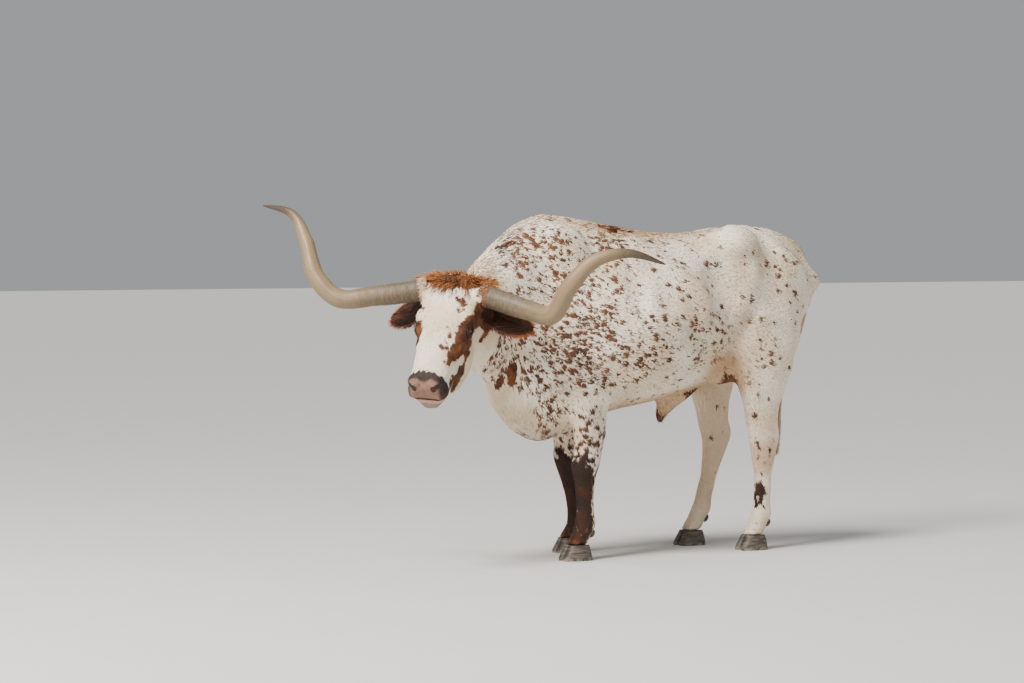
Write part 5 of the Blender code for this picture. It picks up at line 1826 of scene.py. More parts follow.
    def sculpt_head(self, mesh: Mesh) -> None:
        """Folds of the lids, rims of the nostrils, wrinkles of muzzle and cheek.

        Args:
            mesh: the head, which it changes.
        """
        points, normal = coordinates(mesh), normals(mesh)
        on_head = self.frame.head(points)
        across, down, out = on_head.T
        height = np.zeros(len(points))
        for side in SIDES:
            eye = EyePlace(self.frame, side)
            level, rise, look = eye.local(points).T
            away = eye.off_rim(level, rise)
            front = ramp(look, -0.015, 0.0)
            height -= front * 0.0022 * np.exp(-((away - 1.42) / 0.10) ** 2)
            height += front * 0.0012 * np.exp(-((away - 1.70) / 0.15) ** 2)
            height -= front * 0.0012 * np.exp(-((away - 2.05) / 0.11) ** 2) * ramp(rise, -0.01, 0.02)
        around = HeadForm.off_nostril(on_head, *HeadForm.nostrils[0])
        height += 0.0022 * np.exp(-((around - 1.45) / 0.28) ** 2)
        front = ramp(down, 0.530, 0.550) * ramp(out, -0.11, -0.08)
        height -= 0.0030 * np.exp(-(across / 0.0035) ** 2) * front
        wrinkle = np.sin((down * 1.0 + np.abs(across) * 0.6) * math.tau / 0.012)
        beside = ramp(down, 0.40, 0.44) * ramp(down, 0.50, 0.47) * ramp(out, -0.02, -0.05)
        height += 0.0006 * wrinkle * beside
        upper = np.exp(-((out - self.lips_out - 0.010) / 0.006) ** 2)
        lower = 0.8 * np.exp(-((out - self.lips_out + 0.011) / 0.006) ** 2)
        height += 0.0018 * (upper + lower) * ramp(down, 0.44, 0.48)
        height += 0.0007 * swirl(points, 22.0, 23)
        set_coordinates(mesh, points + normal * height[:, None])

    @staticmethod
    def open_at(obj: Object, place: np.ndarray, normal: np.ndarray) -> None:
        """Removes what lies beyond a plane and leaves the cut open, keeping the largest skin.

        Args:
            obj: what is opened.
            place: a point of the plane.
            normal: the plane's normal, towards what is removed.
        """
        bm = bmesh.new()
        bm.from_mesh(obj.data)
        bmesh.ops.bisect_plane(bm, geom=bm.verts[:] + bm.edges[:] + bm.faces[:], dist=1e-6, plane_co=place,
                               plane_no=normal, clear_outer=True)
        left, groups = set(bm.faces), []
        while left:
            stack, group = [left.pop()], []
            while stack:
                face = stack.pop()
                group.append(face)
                for edge in face.edges:
                    for other in edge.link_faces:
                        if other in left:
                            left.remove(other)
                            stack.append(other)
            groups.append(group)
        groups.sort(key=len)
        for group in groups[:-1]:
            bmesh.ops.delete(bm, geom=group, context="FACES")
        bm.to_mesh(obj.data)
        bm.free()

    def zip_seam(self, mesh: Mesh, place: np.ndarray, normal: np.ndarray) -> None:
        """Joins the two open edges at the neck with a strip of triangles and smooths it.

        Args:
            mesh: head and body, open at the neck.
            place: a point of the plane between them.
            normal: the plane's normal.
        """
        bm = bmesh.new()
        bm.from_mesh(mesh)
        bm.verts.ensure_lookup_table()
        loops = self.open_loops(bm)
        centre = np.mean([v.co[:] for v in loops[0]], axis=0)
        first = unit(np.cross(normal, (0.0, 0.0, 1.0)))
        second = np.cross(normal, first)
        rows = []
        for loop in loops[:2]:
            angles = [math.atan2((np.array(v.co) - centre) @ second, (np.array(v.co) - centre) @ first)
                      for v in loop]
            order = np.argsort(angles)
            rows.append([(angles[i], loop[i]) for i in order])
        i = j = 0
        n, m = len(rows[0]), len(rows[1])
        while i < n or j < m:
            a, b = rows[0][i % n], rows[1][j % m]
            next_a = rows[0][(i + 1) % n][0] + (math.tau if i + 1 >= n else 0.0)
            next_b = rows[1][(j + 1) % m][0] + (math.tau if j + 1 >= m else 0.0)
            if j >= m or (i < n and next_a <= next_b):
                corners = (a[1], rows[0][(i + 1) % n][1], b[1])
                i += 1
            else:
                corners = (a[1], rows[1][(j + 1) % m][1], b[1])
                j += 1
            if len(set(corners)) == 3 and bm.faces.get(corners) is None:
                bm.faces.new(corners)
        bmesh.ops.recalc_face_normals(bm, faces=bm.faces)
        near = [v for v in bm.verts if abs(float((np.array(v.co) - place) @ normal)) < self.seam_reach]
        for _ in range(8):
            bmesh.ops.smooth_vert(bm, verts=near, factor=0.5, use_axis_x=True, use_axis_y=True,
                                  use_axis_z=True)
        bm.to_mesh(mesh)
        bm.free()

    @staticmethod
    def open_loops(bm: bmesh.types.BMesh) -> list:
        """The open edges' points, as one list for each loop, longest first.

        Args:
            bm: head and body, open at the neck.

        Returns:
            The lists of points.
        """
        edges = [e for e in bm.edges if e.is_boundary]
        left = {v for e in edges for v in e.verts}
        groups = []
        while left:
            stack, group = [left.pop()], []
            while stack:
                vertex = stack.pop()
                group.append(vertex)
                for edge in vertex.link_edges:
                    other = edge.other_vert(vertex)
                    if edge.is_boundary and other in left:
                        left.remove(other)
                        stack.append(other)
            groups.append(group)
        return sorted(groups, key=lambda g: -len(g))

    def sink(self, mesh: Mesh) -> None:
        """Moves the skin in by the coat's depth.

        Args:
            mesh: the skin, which it changes.
        """
        points, normal = coordinates(mesh), normals(mesh)
        deep, shallow = self.depths
        head = ramp(self.anatomy.behind_head(points), 0.03, -0.06)
        depth = deep * (1.0 - head) + shallow * head
        up = self.frame.places(points)[:, 2]
        depth = depth * (1.0 - 0.45 * ramp(up, 0.72, 0.50)) * (1.0 - self.anatomy.bare(points))
        depth = depth * ramp(up, 0.0685, 0.080)
        set_coordinates(mesh, points - normal * depth[:, None])

    def dress(self, markings: Markings, unwrap: Unwrap, material: Material) -> None:
        """Keeps the marks on the skin and gives it its finish.

        Args:
            markings: the steer's markings.
            unwrap: the layout for baking.
            material: the skin's finish.
        """
        points = coordinates(self.obj.data)
        bare, tone = self.anatomy.bare(points), self.anatomy.bare_tone_and_painted_light(points)
        store_coat(self.obj.data, markings.at(points), bare, tone)
        unwrap.lay(self.obj, self.anatomy.regions(points))
        finish_piece(self.obj, material, Slot.HIDE, *FLESH)


@dataclass(frozen=True)
class HornLine:
    """A horn's centre line and radii."""

    frame: Frame
    side: int
    left: tuple = ((0.150, -0.003, 0.009), (0.338, 0.016, -0.036), (0.470, 0.082, -0.044),
                   (0.551, 0.135, 0.073), (0.651, 0.127, 0.191), (0.786, 0.069, 0.233),
                   (0.925, -0.008, 0.195))
    right: tuple = ((0.150, 0.002, 0.014), (0.336, 0.064, -0.022), (0.484, 0.110, -0.040),
                    (0.595, 0.115, 0.051), (0.661, 0.083, 0.195), (0.754, 0.033, 0.307),
                    (0.907, -0.006, 0.335))
    radii: tuple = ((0.0, 0.046), (0.08, 0.046), (0.20, 0.042), (0.38, 0.040), (0.52, 0.037), (0.66, 0.031),
                    (0.78, 0.0235), (0.88, 0.0155), (0.95, 0.0085), (1.0, 0.0022))
    steps: int = 260
    sides: int = 48
    sunk: float = 0.030

    def centres(self) -> np.ndarray:
        """Points of the centre line from the head outwards."""
        table = self.left if self.side > 0 else self.right
        rows = curve([(self.side * a, b, c) for a, b, c in table], self.steps)
        return self.frame.on_head(np.array(HeadForm.horn_root)) + rows @ self.frame.level_axes()


@dataclass
class Horn:
    """A long horn with growth rings, worn smooth and drawn to a point."""

    line: HornLine
    ring_height: float = 0.0011
    rings: float = 30.0

    def build(self) -> Object:
        """Rings of points with growth rings near the root and shallow swells further out."""
        centres = self.line.centres()
        share = np.linspace(0.0, 1.0, self.line.steps)
        table = np.array(self.line.radii)
        radii = np.interp(share, table[:, 0], table[:, 1])
        start = centres[0] - unit(centres[1] - centres[0]) * self.line.sunk
        centres, radii, share = np.vstack([start, centres]), np.append(radii[0], radii), np.append(0.0, share)
        rings = tube_rings(centres, radii, self.line.sides)
        outward = unit(rings - centres[:, None])
        draw = np.random.default_rng(SEED + self.line.side)
        phase = share * self.rings * math.tau + np.cumsum(draw.normal(0.0, 0.10, len(share)))
        ridge = (1.0 - np.abs(np.sin(phase / 2.0))) * ramp(share, 0.40, 0.04) * self.ring_height
        swell = 0.0006 * np.sin(phase * 0.31 + 1.0) * ramp(share, 0.9, 0.6)
        angles = np.linspace(0.0, math.tau, self.line.sides, endpoint=False)
        waves = np.sin(angles * 7 + 2.0 * np.sin(share[:, None] * 9.0))
        flute = 0.0005 * waves * ramp(share, 0.8, 0.5)[:, None]
        lift = (ridge + swell)[:, None] + flute
        lift[-1] = 0.0
        obj = loft(f"horn_{side_name(self.line.side)}_sheath", rings + outward * lift[:, :, None])
        around = np.stack([np.repeat(share, self.line.sides), np.tile(np.cos(angles), len(share)),
                           np.tile(np.sin(angles), len(share))], axis=1)
        around = np.vstack([around, (0.0, 0.0, 0.0), (1.0, 0.0, 0.0)])
        store(obj.data, "lengthwise", around)
        store(obj.data, "root", coordinates(obj.data))
        return obj

    def dress(self, obj: Object, material: Material) -> None:
        """Sets the horn on the model in place of its solid."""
        finish_piece(obj, material, Slot.HORN, "horn_" + side_name(self.line.side))


@dataclass
class Eye:
    """An eyeball with a cornea that stands a little proud."""

    place: EyePlace
    bulge: float = 0.045

    def build(self) -> Object:
        """A fine ball that carries its own coordinates for its finish."""
        name = "eye_ball_" + side_name(self.place.side)
        obj = ball(name, self.place.centre(), (self.place.radius,) * 3, self.place.axes(), 64)
        points = coordinates(obj.data)
        local = self.place.local(points) / self.place.radius
        swollen = 1.0 + self.bulge * ramp(local[:, 2], 0.72, 0.97)
        set_coordinates(obj.data, self.place.centre() + (points - self.place.centre()) * swollen[:, None])
        store(obj.data, "gaze", local)
        return obj

    def dress(self, obj: Object, material: Material) -> None:
        """Sets the eye in place of its solid."""
        finish_piece(obj, material, Slot.EYE, "eye_" + side_name(self.place.side))


@dataclass
class Ear:
    """A leaf-shaped ear: hollow and ridged in front, rounded behind."""

    frame: Frame
    side: int
    root: tuple = (0.118, 0.085, -0.120)
    length: float = 0.225
    width: float = 0.062
    cup: float = 0.032
    thick: float = 0.0045
    droop: float = 0.022
    point: tuple = (1.0, -0.16, -0.45)
    face: tuple = (0.35, 0.10, 1.0)
    # Along the ear: share of its length, of its width and of its cup.
    form: tuple = ((-0.12, 0.42, 0.9), (0.06, 0.50, 1.2), (0.22, 0.78, 1.25), (0.40, 0.98, 1.0),
                   (0.58, 1.0, 0.8), (0.76, 0.84, 0.55), (0.90, 0.52, 0.3), (0.99, 0.16, 0.08))
    rings: int = 56
    half_count: int = 22

    def axes(self) -> np.ndarray:
        """Rows along the ear, the way its hollow faces, and across its breadth."""
        across, along, out = self.frame.axes()
        length = unit(across * (self.side * self.point[0]) + along * self.point[1] + out * self.point[2])
        facing = out * self.face[2] + along * self.face[1] + across * (self.side * self.face[0])
        facing = unit(facing - length * (facing @ length))
        return np.array((length, facing, np.cross(length, facing)))

    def centre(self, place: np.ndarray) -> np.ndarray:
        """Points of the ear's line at shares of its length."""
        start = self.frame.on_head(np.array((self.side * self.root[0], self.root[1], self.root[2])))
        place = np.asarray(place, float)[..., None]
        sag = np.array((0.0, 0.0, 1.0)) * (self.droop * place ** 2)
        return start + self.axes()[0] * (place * self.length) - sag

    def cupped(self, places: np.ndarray, shares: np.ndarray) -> tuple:
        """Points on the middle of the ear's leaf.

        Args:
            places: shares of the ear's length.
            shares: from -1 at one edge to 1 at the other.

        Returns:
            The points, and the half width at each place.
        """
        table = np.array(self.form)
        half = np.interp(places, table[:, 0], table[:, 1]) * self.width
        cup = np.interp(places, table[:, 0], table[:, 2]) * self.cup
        _, facing, breadth = self.axes()
        depth = -cup * (1.0 - shares ** 2)
        points = self.centre(places) + breadth * (half * shares)[..., None] + facing * depth[..., None]
        return points, half

    def build(self) -> Object:
        """The leaf, thinner towards its edges, with ridges in its hollow."""
        rows = curve(self.form, self.rings)
        facing = self.axes()[1]
        shares = np.linspace(-1.0, 1.0, self.half_count)
        rings = []
        for place in rows[:, 0]:
            middle, _ = self.cupped(np.full(self.half_count, place), shares)
            thick = self.thick * (1.0 - 0.55 * np.abs(shares)) * min(1.0, 8.0 * (1.02 - place))
            ridge = 0.0022 * np.cos(shares * math.pi * 3.0) * ramp(np.abs(shares), 0.95, 0.5)
            ridge = ridge * ramp(np.array(place), 0.85, 0.35)
            outer = middle - facing * thick[:, None]
            inner = middle + facing * (thick * 0.3 + ridge)[:, None]
            rings.append(np.vstack([outer, inner[::-1]]))
        return loft(self.node() + "_leaf", np.array(rings))

    def node(self) -> str:
        """The solid that the ear takes the place of."""
        return "ear_" + side_name(self.side)

    def region(self) -> Region:
        """The ear's stretch of coat."""
        return Region.EAR_LEFT if self.side > 0 else Region.EAR_RIGHT

    def lie(self, roots: np.ndarray, normal: np.ndarray) -> np.ndarray:
        """The lie of its short hair at any roots, towards its tip."""
        length = self.axes()[0]
        return unit(length - normal * (normal @ length)[:, None])

    def marks(self, roots: np.ndarray) -> np.ndarray:
        """The marks of its short hair: brown, and dark at the tip."""
        found = np.zeros((len(roots), len(Channel)))
        found[:, BROWN] = 1.0
        along = (roots - self.centre(np.array(0.0))) @ self.axes()[0]
        found[:, DARK] = 0.9 * ramp(along, 0.21, 0.16)
        return found

    def skin_marks(self, surface: Surface) -> np.ndarray:
        """The marks of its leaf: brown behind and dark in the hollow."""
        found = np.zeros((len(surface.points), len(Channel)))
        found[:, DARK] = ramp(surface.normals @ self.axes()[1], -0.2, 0.2)
        found[:, BROWN] = 1.0
        return found


@dataclass
class Claw:
    """One claw of a cloven hoof."""

    frame: Frame
    leg: str
    toe_out: int
    form: tuple = ((0.0, 0.074, 0.058, 0.0275), (0.012, 0.073, 0.059, 0.0285), (0.040, 0.056, 0.055, 0.0265),
                   (0.0677, 0.042, 0.048, 0.0225))
    cleft: float = 0.006
    close: float = 0.25
    rings: int = 22
    sides: int = 44

    def build(self, name: str) -> Object:
        """Rings from the flat sole to the coronet, with shallow bands.

        Args:
            name: the claw's name.

        Returns:
            The new object.
        """
        joint = LEG_JOINTS[self.leg][3]
        table = np.array(self.form)
        angles = np.linspace(0.0, math.tau, self.sides, endpoint=False)
        c, s = np.cos(angles), np.sin(angles)
        c, s = np.sign(c) * np.abs(c) ** (2 / 2.4), np.sign(s) * np.abs(s) ** (2 / 2.4)
        rings = []
        for height in np.linspace(0.0, table[-1, 0], self.rings):
            front, back, half = (np.interp(height, table[:, 0], table[:, k]) for k in (1, 2, 3))
            band = 1.0 + 0.012 * math.sin(height * math.tau / 0.008) * min(1.0, height / 0.01)
            reach = np.where(c > 0, front, back) * band
            across = half * (1.0 + s) - self.close * np.maximum(c, 0.0) * half
            outward = joint[1] + self.toe_out * (self.cleft / 2 + np.maximum(across, 0.0008))
            rings.append(self.frame.at(np.column_stack([joint[0] + reach * c, outward,
                                                        np.full(self.sides, height)])))
        return loft(name, np.array(rings))


@dataclass
class Tail:
    """The tail's skin, from its root on the rump to the core of its switch."""

    frame: Frame
    path: tuple = ((0.100, 0.0, 1.380), (0.045, 0.0, 1.372), (-0.005, 0.0, 1.325),
                   (-0.026, 0.0, 1.240), (-0.030, 0.0, 1.150), (-0.026, -0.004, 1.060),
                   (0.004, -0.008, 0.955), (0.046, -0.010, 0.860), (0.086, -0.010, 0.770),
                   (0.104, -0.010, 0.670), (0.114, -0.010, 0.590), (0.121, -0.010, 0.500))
    radii: tuple = (0.033, 0.031, 0.024, 0.0195, 0.0165, 0.0140,
                    0.0125, 0.0115, 0.0105, 0.0100, 0.0080, 0.003)
    tan: tuple = (0.0, 0.15, 0.0, 0.9)     # flecks, brown, dark and tan
    steps: int = 150
    sides: int = 20

    def line(self, count: int) -> np.ndarray:
        """Points down the middle of the tail."""
        return self.frame.at(curve(self.path, count))

    def build(self) -> Object:
        """A tube with the bones' slow swells."""
        radii = curve([(r,) for r in self.radii], self.steps)[:, 0]
        radii = radii * (1.0 + 0.03 * np.sin(np.linspace(0.0, 16.0 * math.tau, self.steps)))
        return loft("tail_skin", tube_rings(self.line(self.steps), radii, self.sides))

    def lie(self, roots: np.ndarray, normal: np.ndarray) -> np.ndarray:
        """The lie of its short hair, down the tail.

        Args:
            roots: where the hair grows.
            normal: the skin's normals there.

        Returns:
            A direction for each root.
        """
        line = self.line(200)
        near = ((roots[:, None] - line[None]) ** 2).sum(axis=2).argmin(axis=1)
        ahead = unit(line[np.minimum(near + 2, 199)] - line[np.minimum(near + 1, 198)])
        return unit(ahead - normal * (ahead * normal).sum(axis=1, keepdims=True))

    def marks(self, roots: np.ndarray) -> np.ndarray:
        """The marks of its skin and short hair: tan with a little brown."""
        return np.tile(self.tan, (len(roots), 1))


@dataclass
class Coat:
    """The short coat: fine tufts over skin, ears and tail."""

    anatomy: Anatomy
    markings: Markings
    lie: Lie
    unwrap: Unwrap
    spacing: float = 0.0084
    length: float = 0.023
    half_width: float = 0.0030
    flatness: float = 0.42
    varied: tuple = (0.75, 1.25)
    lift: tuple = (0.08, 0.18)
    fall: tuple = (-0.30, 0.70)
    other_size: float = 0.55      # of the tufts on ears and tail
    piece_tufts: int = 19500

    def tufts(self, surface: Surface, sizes: np.ndarray, regions: object, lie: object, marks: object,
              draw: np.random.Generator) -> tuple:
        """Tufts over a surface.

        Args:
            surface: what they grow on.
            sizes: their size at each of its points, 0 for none.
            regions: gives the region of points.
            lie: gives the lie at points and normals.
            marks: gives the marks at points.
            draw: the source of chance.

        Returns:
            The hair, and the region of each tuft.
        """
        roots, normal = surface.scattered(sizes * self.spacing, draw)
        count = len(roots)
        on_body = lie == self.lie.direction
        size = self.lie.size(roots) if on_body else np.full(count, self.other_size)
        stretch = self.lie.stretch(roots) if on_body else np.ones(count)
        direction = lie(roots, normal)
        side = np.cross(normal, direction)
        direction = unit(direction + side * draw.normal(0.0, 0.20, (count, 1)))
        lengths = self.length * size * stretch * draw.uniform(*self.varied, count)
        lift = draw.uniform(*self.lift, (count, 1)) + 0.14 * (stretch[:, None] - 1.0)
        along = unit(direction + normal * lift)
        side = unit(np.cross(normal, along))
        over = surface.height_over(roots + direction * lengths[:, None])[:, None] / lengths[:, None]
        fall = np.clip(lift * 0.60 + over, *self.fall)
        bend = -normal * fall + side * draw.normal(0.0, 0.10, (count, 1))
        halves = self.half_width * size * draw.uniform(*self.varied, count)
        region = regions(roots)
        spots = self.unwrap.locate(roots, normal, region)
        sunk = roots - normal * (0.0010 * size[:, None])
        thick = halves * self.flatness
        return Hair(sunk, along, side, bend, lengths, halves, thick, marks(roots), spots), region

    def build(self, skin: Skin, material: Material) -> None:
        """Grows the coat on the skin, region by region, in pieces of limited size.

        Args:
            skin: the skin that it grows on.
            material: the coat's finish.
        """
        draw = np.random.default_rng(SEED)
        surface = Surface.of(skin.obj)
        sizes = self.lie.size(surface.points) * (self.anatomy.bare(surface.points) < 0.35)
        sizes = sizes * self.free_of_horns(surface.points)
        hair, region = self.tufts(surface, sizes, self.anatomy.regions, self.lie.direction,
                                  self.markings.at, draw)
        for kind in Region:
            rows = np.flatnonzero(region == kind.value)
            if not len(rows):
                continue
            rows = rows[np.argsort(hair.roots[rows, 0])]
            shares = max(1, math.ceil(len(rows) / self.piece_tufts))
            for index, chosen in enumerate(np.array_split(rows, shares)):
                obj = hair.part(chosen).build(f"coat_{kind.name.lower()}_{index + 1}", draw)
                finish_piece(obj, material, Slot.HIDE)
        LOG.info("coat: %d tufts", len(hair.roots))

    def free_of_horns(self, points: np.ndarray) -> np.ndarray:
        """0 under the horns' roots and 1 elsewhere.

        Args:
            points: model points.

        Returns:
            A factor for each.
        """
        free = np.ones(len(points))
        for side in SIDES:
            line = HornLine(self.anatomy.frame, side).centres()
            ahead = unit(line[4] - line[0])
            offset = points - line[0]
            along = offset @ ahead
            away = np.linalg.norm(offset - along[:, None] * ahead, axis=1)
            free = np.where((away < 0.044) & (np.abs(along) < 0.03), 0.0, free)
        return free


@dataclass
class PollTuft:
    """The shock of hair on the poll: it stands up behind and falls over the forehead in front."""

    frame: Frame
    unwrap: Unwrap
    # Place down the face and out from it, lean down and out, fall, length, spread and count.
    rows: tuple = (
        (-0.046, -0.076, -0.80, 0.70, 0.20, 0.070, 0.118, 190),
        (-0.034, -0.058, -0.65, 0.90, 0.25, 0.080, 0.124, 210),
        (-0.022, -0.042, -0.45, 1.00, 0.40, 0.088, 0.130, 250),
        (-0.010, -0.030, -0.20, 0.95, 0.60, 0.088, 0.132, 270),
        (0.000, -0.022, 0.20, 0.70, 0.70, 0.080, 0.124, 280),
        (0.010, -0.017, 0.60, 0.50, 0.60, 0.074, 0.100, 270),
        (0.020, -0.013, 0.95, 0.36, 0.50, 0.068, 0.076, 230),
        (0.030, -0.009, 1.10, 0.26, 0.40, 0.060, 0.052, 170),
    )
    splay: float = 1.25
    half: float = 0.0024
    thick: float = 0.0012
    sweep: float = 0.55     # how far whole clumps turn to one side
    clump: float = 26.0

    def build(self, material: Material) -> None:
        """Grows the rows, with longer locks in the middle.

        Args:
            material: the tuft's finish.
        """
        across, along, out = self.frame.axes()
        draw = np.random.default_rng(SEED + 11)
        parts = []
        for down, high, lean_down, lean_out, fall, length, spread, count in self.rows:
            share = np.linspace(-1.0, 1.0, count) + draw.uniform(-0.5, 0.5, count) / count
            front = min(max((down + 0.010) / 0.040, 0.0), 1.0)
            arch = 1.0 - (0.14 + 0.50 * front) * share ** 2
            places = np.column_stack([spread * share, down + draw.uniform(-0.008, 0.008, count),
                                      high - 0.012 - 0.014 * share ** 2])
            roots = self.frame.on_head(places)
            turned = self.splay * (1.0 - 0.5 * front) * share + self.sweep * swirl(roots, self.clump, 61)
            marks = np.zeros((count, len(Channel)))
            marks[:, DEEP] = (0.25 + 0.65 * front) * ramp(np.abs(share - 0.15), 0.95, 0.35)
            lean = np.outer(turned, across) + along * lean_down + np.outer(lean_out * arch, out)
            lean = unit(lean + draw.normal(0.0, 0.10, (count, 3)))
            droop = (along * fall - out * (0.45 * fall)) + np.outer(0.30 * turned, across)
            droop = droop * draw.uniform(0.6, 1.0, (count, 1))
            side = unit(np.cross(lean, out + 0.3 * draw.normal(0.0, 1.0, (count, 3))))
            size = length * arch * draw.uniform(0.75, 1.10, count)
            half = self.half * draw.uniform(0.5, 1.2, count)
            spots = self.unwrap.locate(roots, np.tile(out, (count, 1)), np.zeros(count, int))
            thick = np.full(count, self.thick)
            parts.append(Hair(roots, lean, side, droop, size, half, thick, marks, spots, LOCK))
        finish_piece(Hair.joined(parts).build("poll_tuft", draw), material, Slot.HIDE)


@dataclass
class EarHair:
    """The fringe along an ear's edges and the long hair in its hollow."""

    ear: Ear
    unwrap: Unwrap
    fringe_count: int = 820
    fringe_length: tuple = (0.010, 0.024)
    fringe_half: float = 0.0014
    inner_count: int = 240
    inner_length: tuple = (0.020, 0.038)
    inner_half: float = 0.0020

    def build(self, fringe: Material, inside: Material) -> None:
        """Grows the fringe, then the hair in the hollow.

        Args:
            fringe: the finish of the fringe.
            inside: the finish of the hair in the hollow.
        """
        draw = np.random.default_rng(SEED + 20 + self.ear.side)
        length, facing, breadth = self.ear.axes()
        name = side_name(self.ear.side)
        count = self.fringe_count
        place = draw.uniform(0.08, 1.0, count) ** 0.8
        edge = np.where(draw.uniform(size=count) < 0.45, -1.0, 1.0)
        roots, _ = self.ear.cupped(np.minimum(place, 0.985), edge * draw.uniform(0.86, 1.0, count))
        lean = (np.outer(edge * (1.0 - 0.75 * place ** 3), breadth)
                + np.outer(0.35 + 0.8 * place ** 2, length)
                + np.outer(draw.uniform(-0.25, 0.35, count), facing))
        lean = unit(lean + draw.normal(0.0, 0.12, (count, 3)))
        hair = self.grow(roots, lean, draw.uniform(*self.fringe_length, count), self.fringe_half, draw,
                         ramp(place, 0.85, 0.30))
        finish_piece(hair.build("ear_fringe_" + name, draw), fringe, Slot.EAR)
        count = self.inner_count
        place = draw.uniform(0.10, 0.85, count)
        share = draw.uniform(-0.85, 0.85, count)
        roots, _ = self.ear.cupped(place, share)
        lean = (np.outer(-np.sign(share) * 0.3, breadth) + np.outer(np.full(count, 0.9), length)
                + np.outer(draw.uniform(0.15, 0.5, count), facing))
        hair = self.grow(roots, unit(lean), draw.uniform(*self.inner_length, count), self.inner_half, draw)
        finish_piece(hair.build("ear_inner_" + name, draw), inside, Slot.EAR)

    def grow(self, roots: np.ndarray, lean: np.ndarray, lengths: np.ndarray, half: float,
             draw: np.random.Generator, deep: np.ndarray | float = 0.0) -> Hair:
        """One lot of hair.

        Args:
            roots: where the locks grow.
            lean: the way each starts.
            lengths: how long each is.
            half: the usual half width of a lock.
            draw: the source of chance.
            deep: how far each takes the finish's deeper colour.

        Returns:
            The hair.
        """
        count, facing = len(roots), self.ear.axes()[1]
        marks = np.zeros((count, len(Channel)))
        marks[:, DEEP] = deep
        side = unit(np.cross(facing, lean) + draw.normal(0.0, 0.3, (count, 3)))
        side = unit(side - lean * (side * lean).sum(axis=1, keepdims=True))
        droop = np.tile(np.array((0.0, 0.0, -0.25)), (count, 1)) + draw.normal(0.0, 0.10, (count, 3))
        spots = self.unwrap.locate(roots, np.tile(facing, (count, 1)), self.ear.region().over(roots))
        return Hair(roots, lean, side, droop, lengths, half * draw.uniform(0.6, 1.2, count),
                    np.full(count, half * 0.4), marks, spots, LOCK)


@dataclass
class Switch:
    """The tail's brush: locks that hang round its end and draw together."""

    tail: Tail
    unwrap: Unwrap
    count: int = 330
    top: float = 0.740
    fall: float = 0.250
    lowest: float = 0.400
    half: float = 0.0042
    thick: float = 0.0018
    steps: int = 400

    def build(self, material: Material) -> None:
        """Locks rooted down the end of the tail, each hanging beside its line.

        Args:
            material: the switch's finish.
        """
        draw = np.random.default_rng(SEED + 31)
        line = self.tail.line(self.steps)
        heights = self.top - self.fall * draw.uniform(0.0, 1.0, self.count) ** 0.8
        rows = np.abs(line[:, 2][None] - heights[:, None]).argmin(axis=1)
        angle = draw.uniform(0.0, math.tau, self.count)
        outward = np.column_stack([np.cos(angle), np.sin(angle), np.zeros(self.count)])
        roots = line[rows] + outward * 0.007
        ahead = unit(line[np.minimum(rows + 12, self.steps - 1)] - line[rows])
        lengths = np.minimum(draw.uniform(0.10, 0.17, self.count), (heights - self.lowest) * 0.96)
        lean = unit(ahead + outward * draw.uniform(0.08, 0.20, (self.count, 1)))
        bend = outward * draw.uniform(-0.16, -0.04, (self.count, 1)) + draw.normal(0.0, 0.03, (self.count, 3))
        side = unit(np.cross(outward, lean))
        spots = self.unwrap.locate(roots, outward, Region.TAIL.over(roots))
        hair = Hair(roots, lean, side, bend, lengths, self.half * draw.uniform(0.6, 1.2, self.count),
                    np.full(self.count, self.thick), np.zeros((self.count, len(Channel))), spots, LOCK)
        finish_piece(hair.build("tail_switch", draw), material, Slot.TAIL)


@dataclass
class Lashes:
    """The long lashes of the upper lid."""

    place: EyePlace
    unwrap: Unwrap
    count: int = 34
    length: float = 0.021
    half: float = 0.0006
    thick: float = 0.0005

    def build(self, material: Material) -> None:
        """Lashes fanned along the lid's edge.

        Args:
            material: the lashes' finish.
        """
        draw = np.random.default_rng(SEED + 40 + self.place.side)
        level, rise, look = self.place.axes()
        up = rise if rise[2] > 0 else -rise
        share = np.linspace(-0.85, 0.85, self.count)
        roots = (self.place.centre() + np.outer(share * 0.0185, level)
                 + np.outer(0.0125 * (1 - 0.8 * share ** 2), up)
                 + np.outer(0.021 * (1 - 0.25 * share ** 2), look))
        lean = unit(look + np.outer(share * 0.5, level) + up * 0.10 + draw.normal(0.0, 0.07, (self.count, 3)))
        side = unit(np.cross(up, lean))
        spots = self.unwrap.locate(roots, np.tile(look, (self.count, 1)), np.zeros(self.count, int))
        hair = Hair(roots, lean, side, np.tile(-0.35 * up, (self.count, 1)),
                    self.length * draw.uniform(0.7, 1.1, self.count), np.full(self.count, self.half),
                    np.full(self.count, self.thick), np.zeros((self.count, len(Channel))), spots, LASH)
        finish_piece(hair.build("lashes_" + side_name(self.place.side), draw), material, Slot.HIDE)


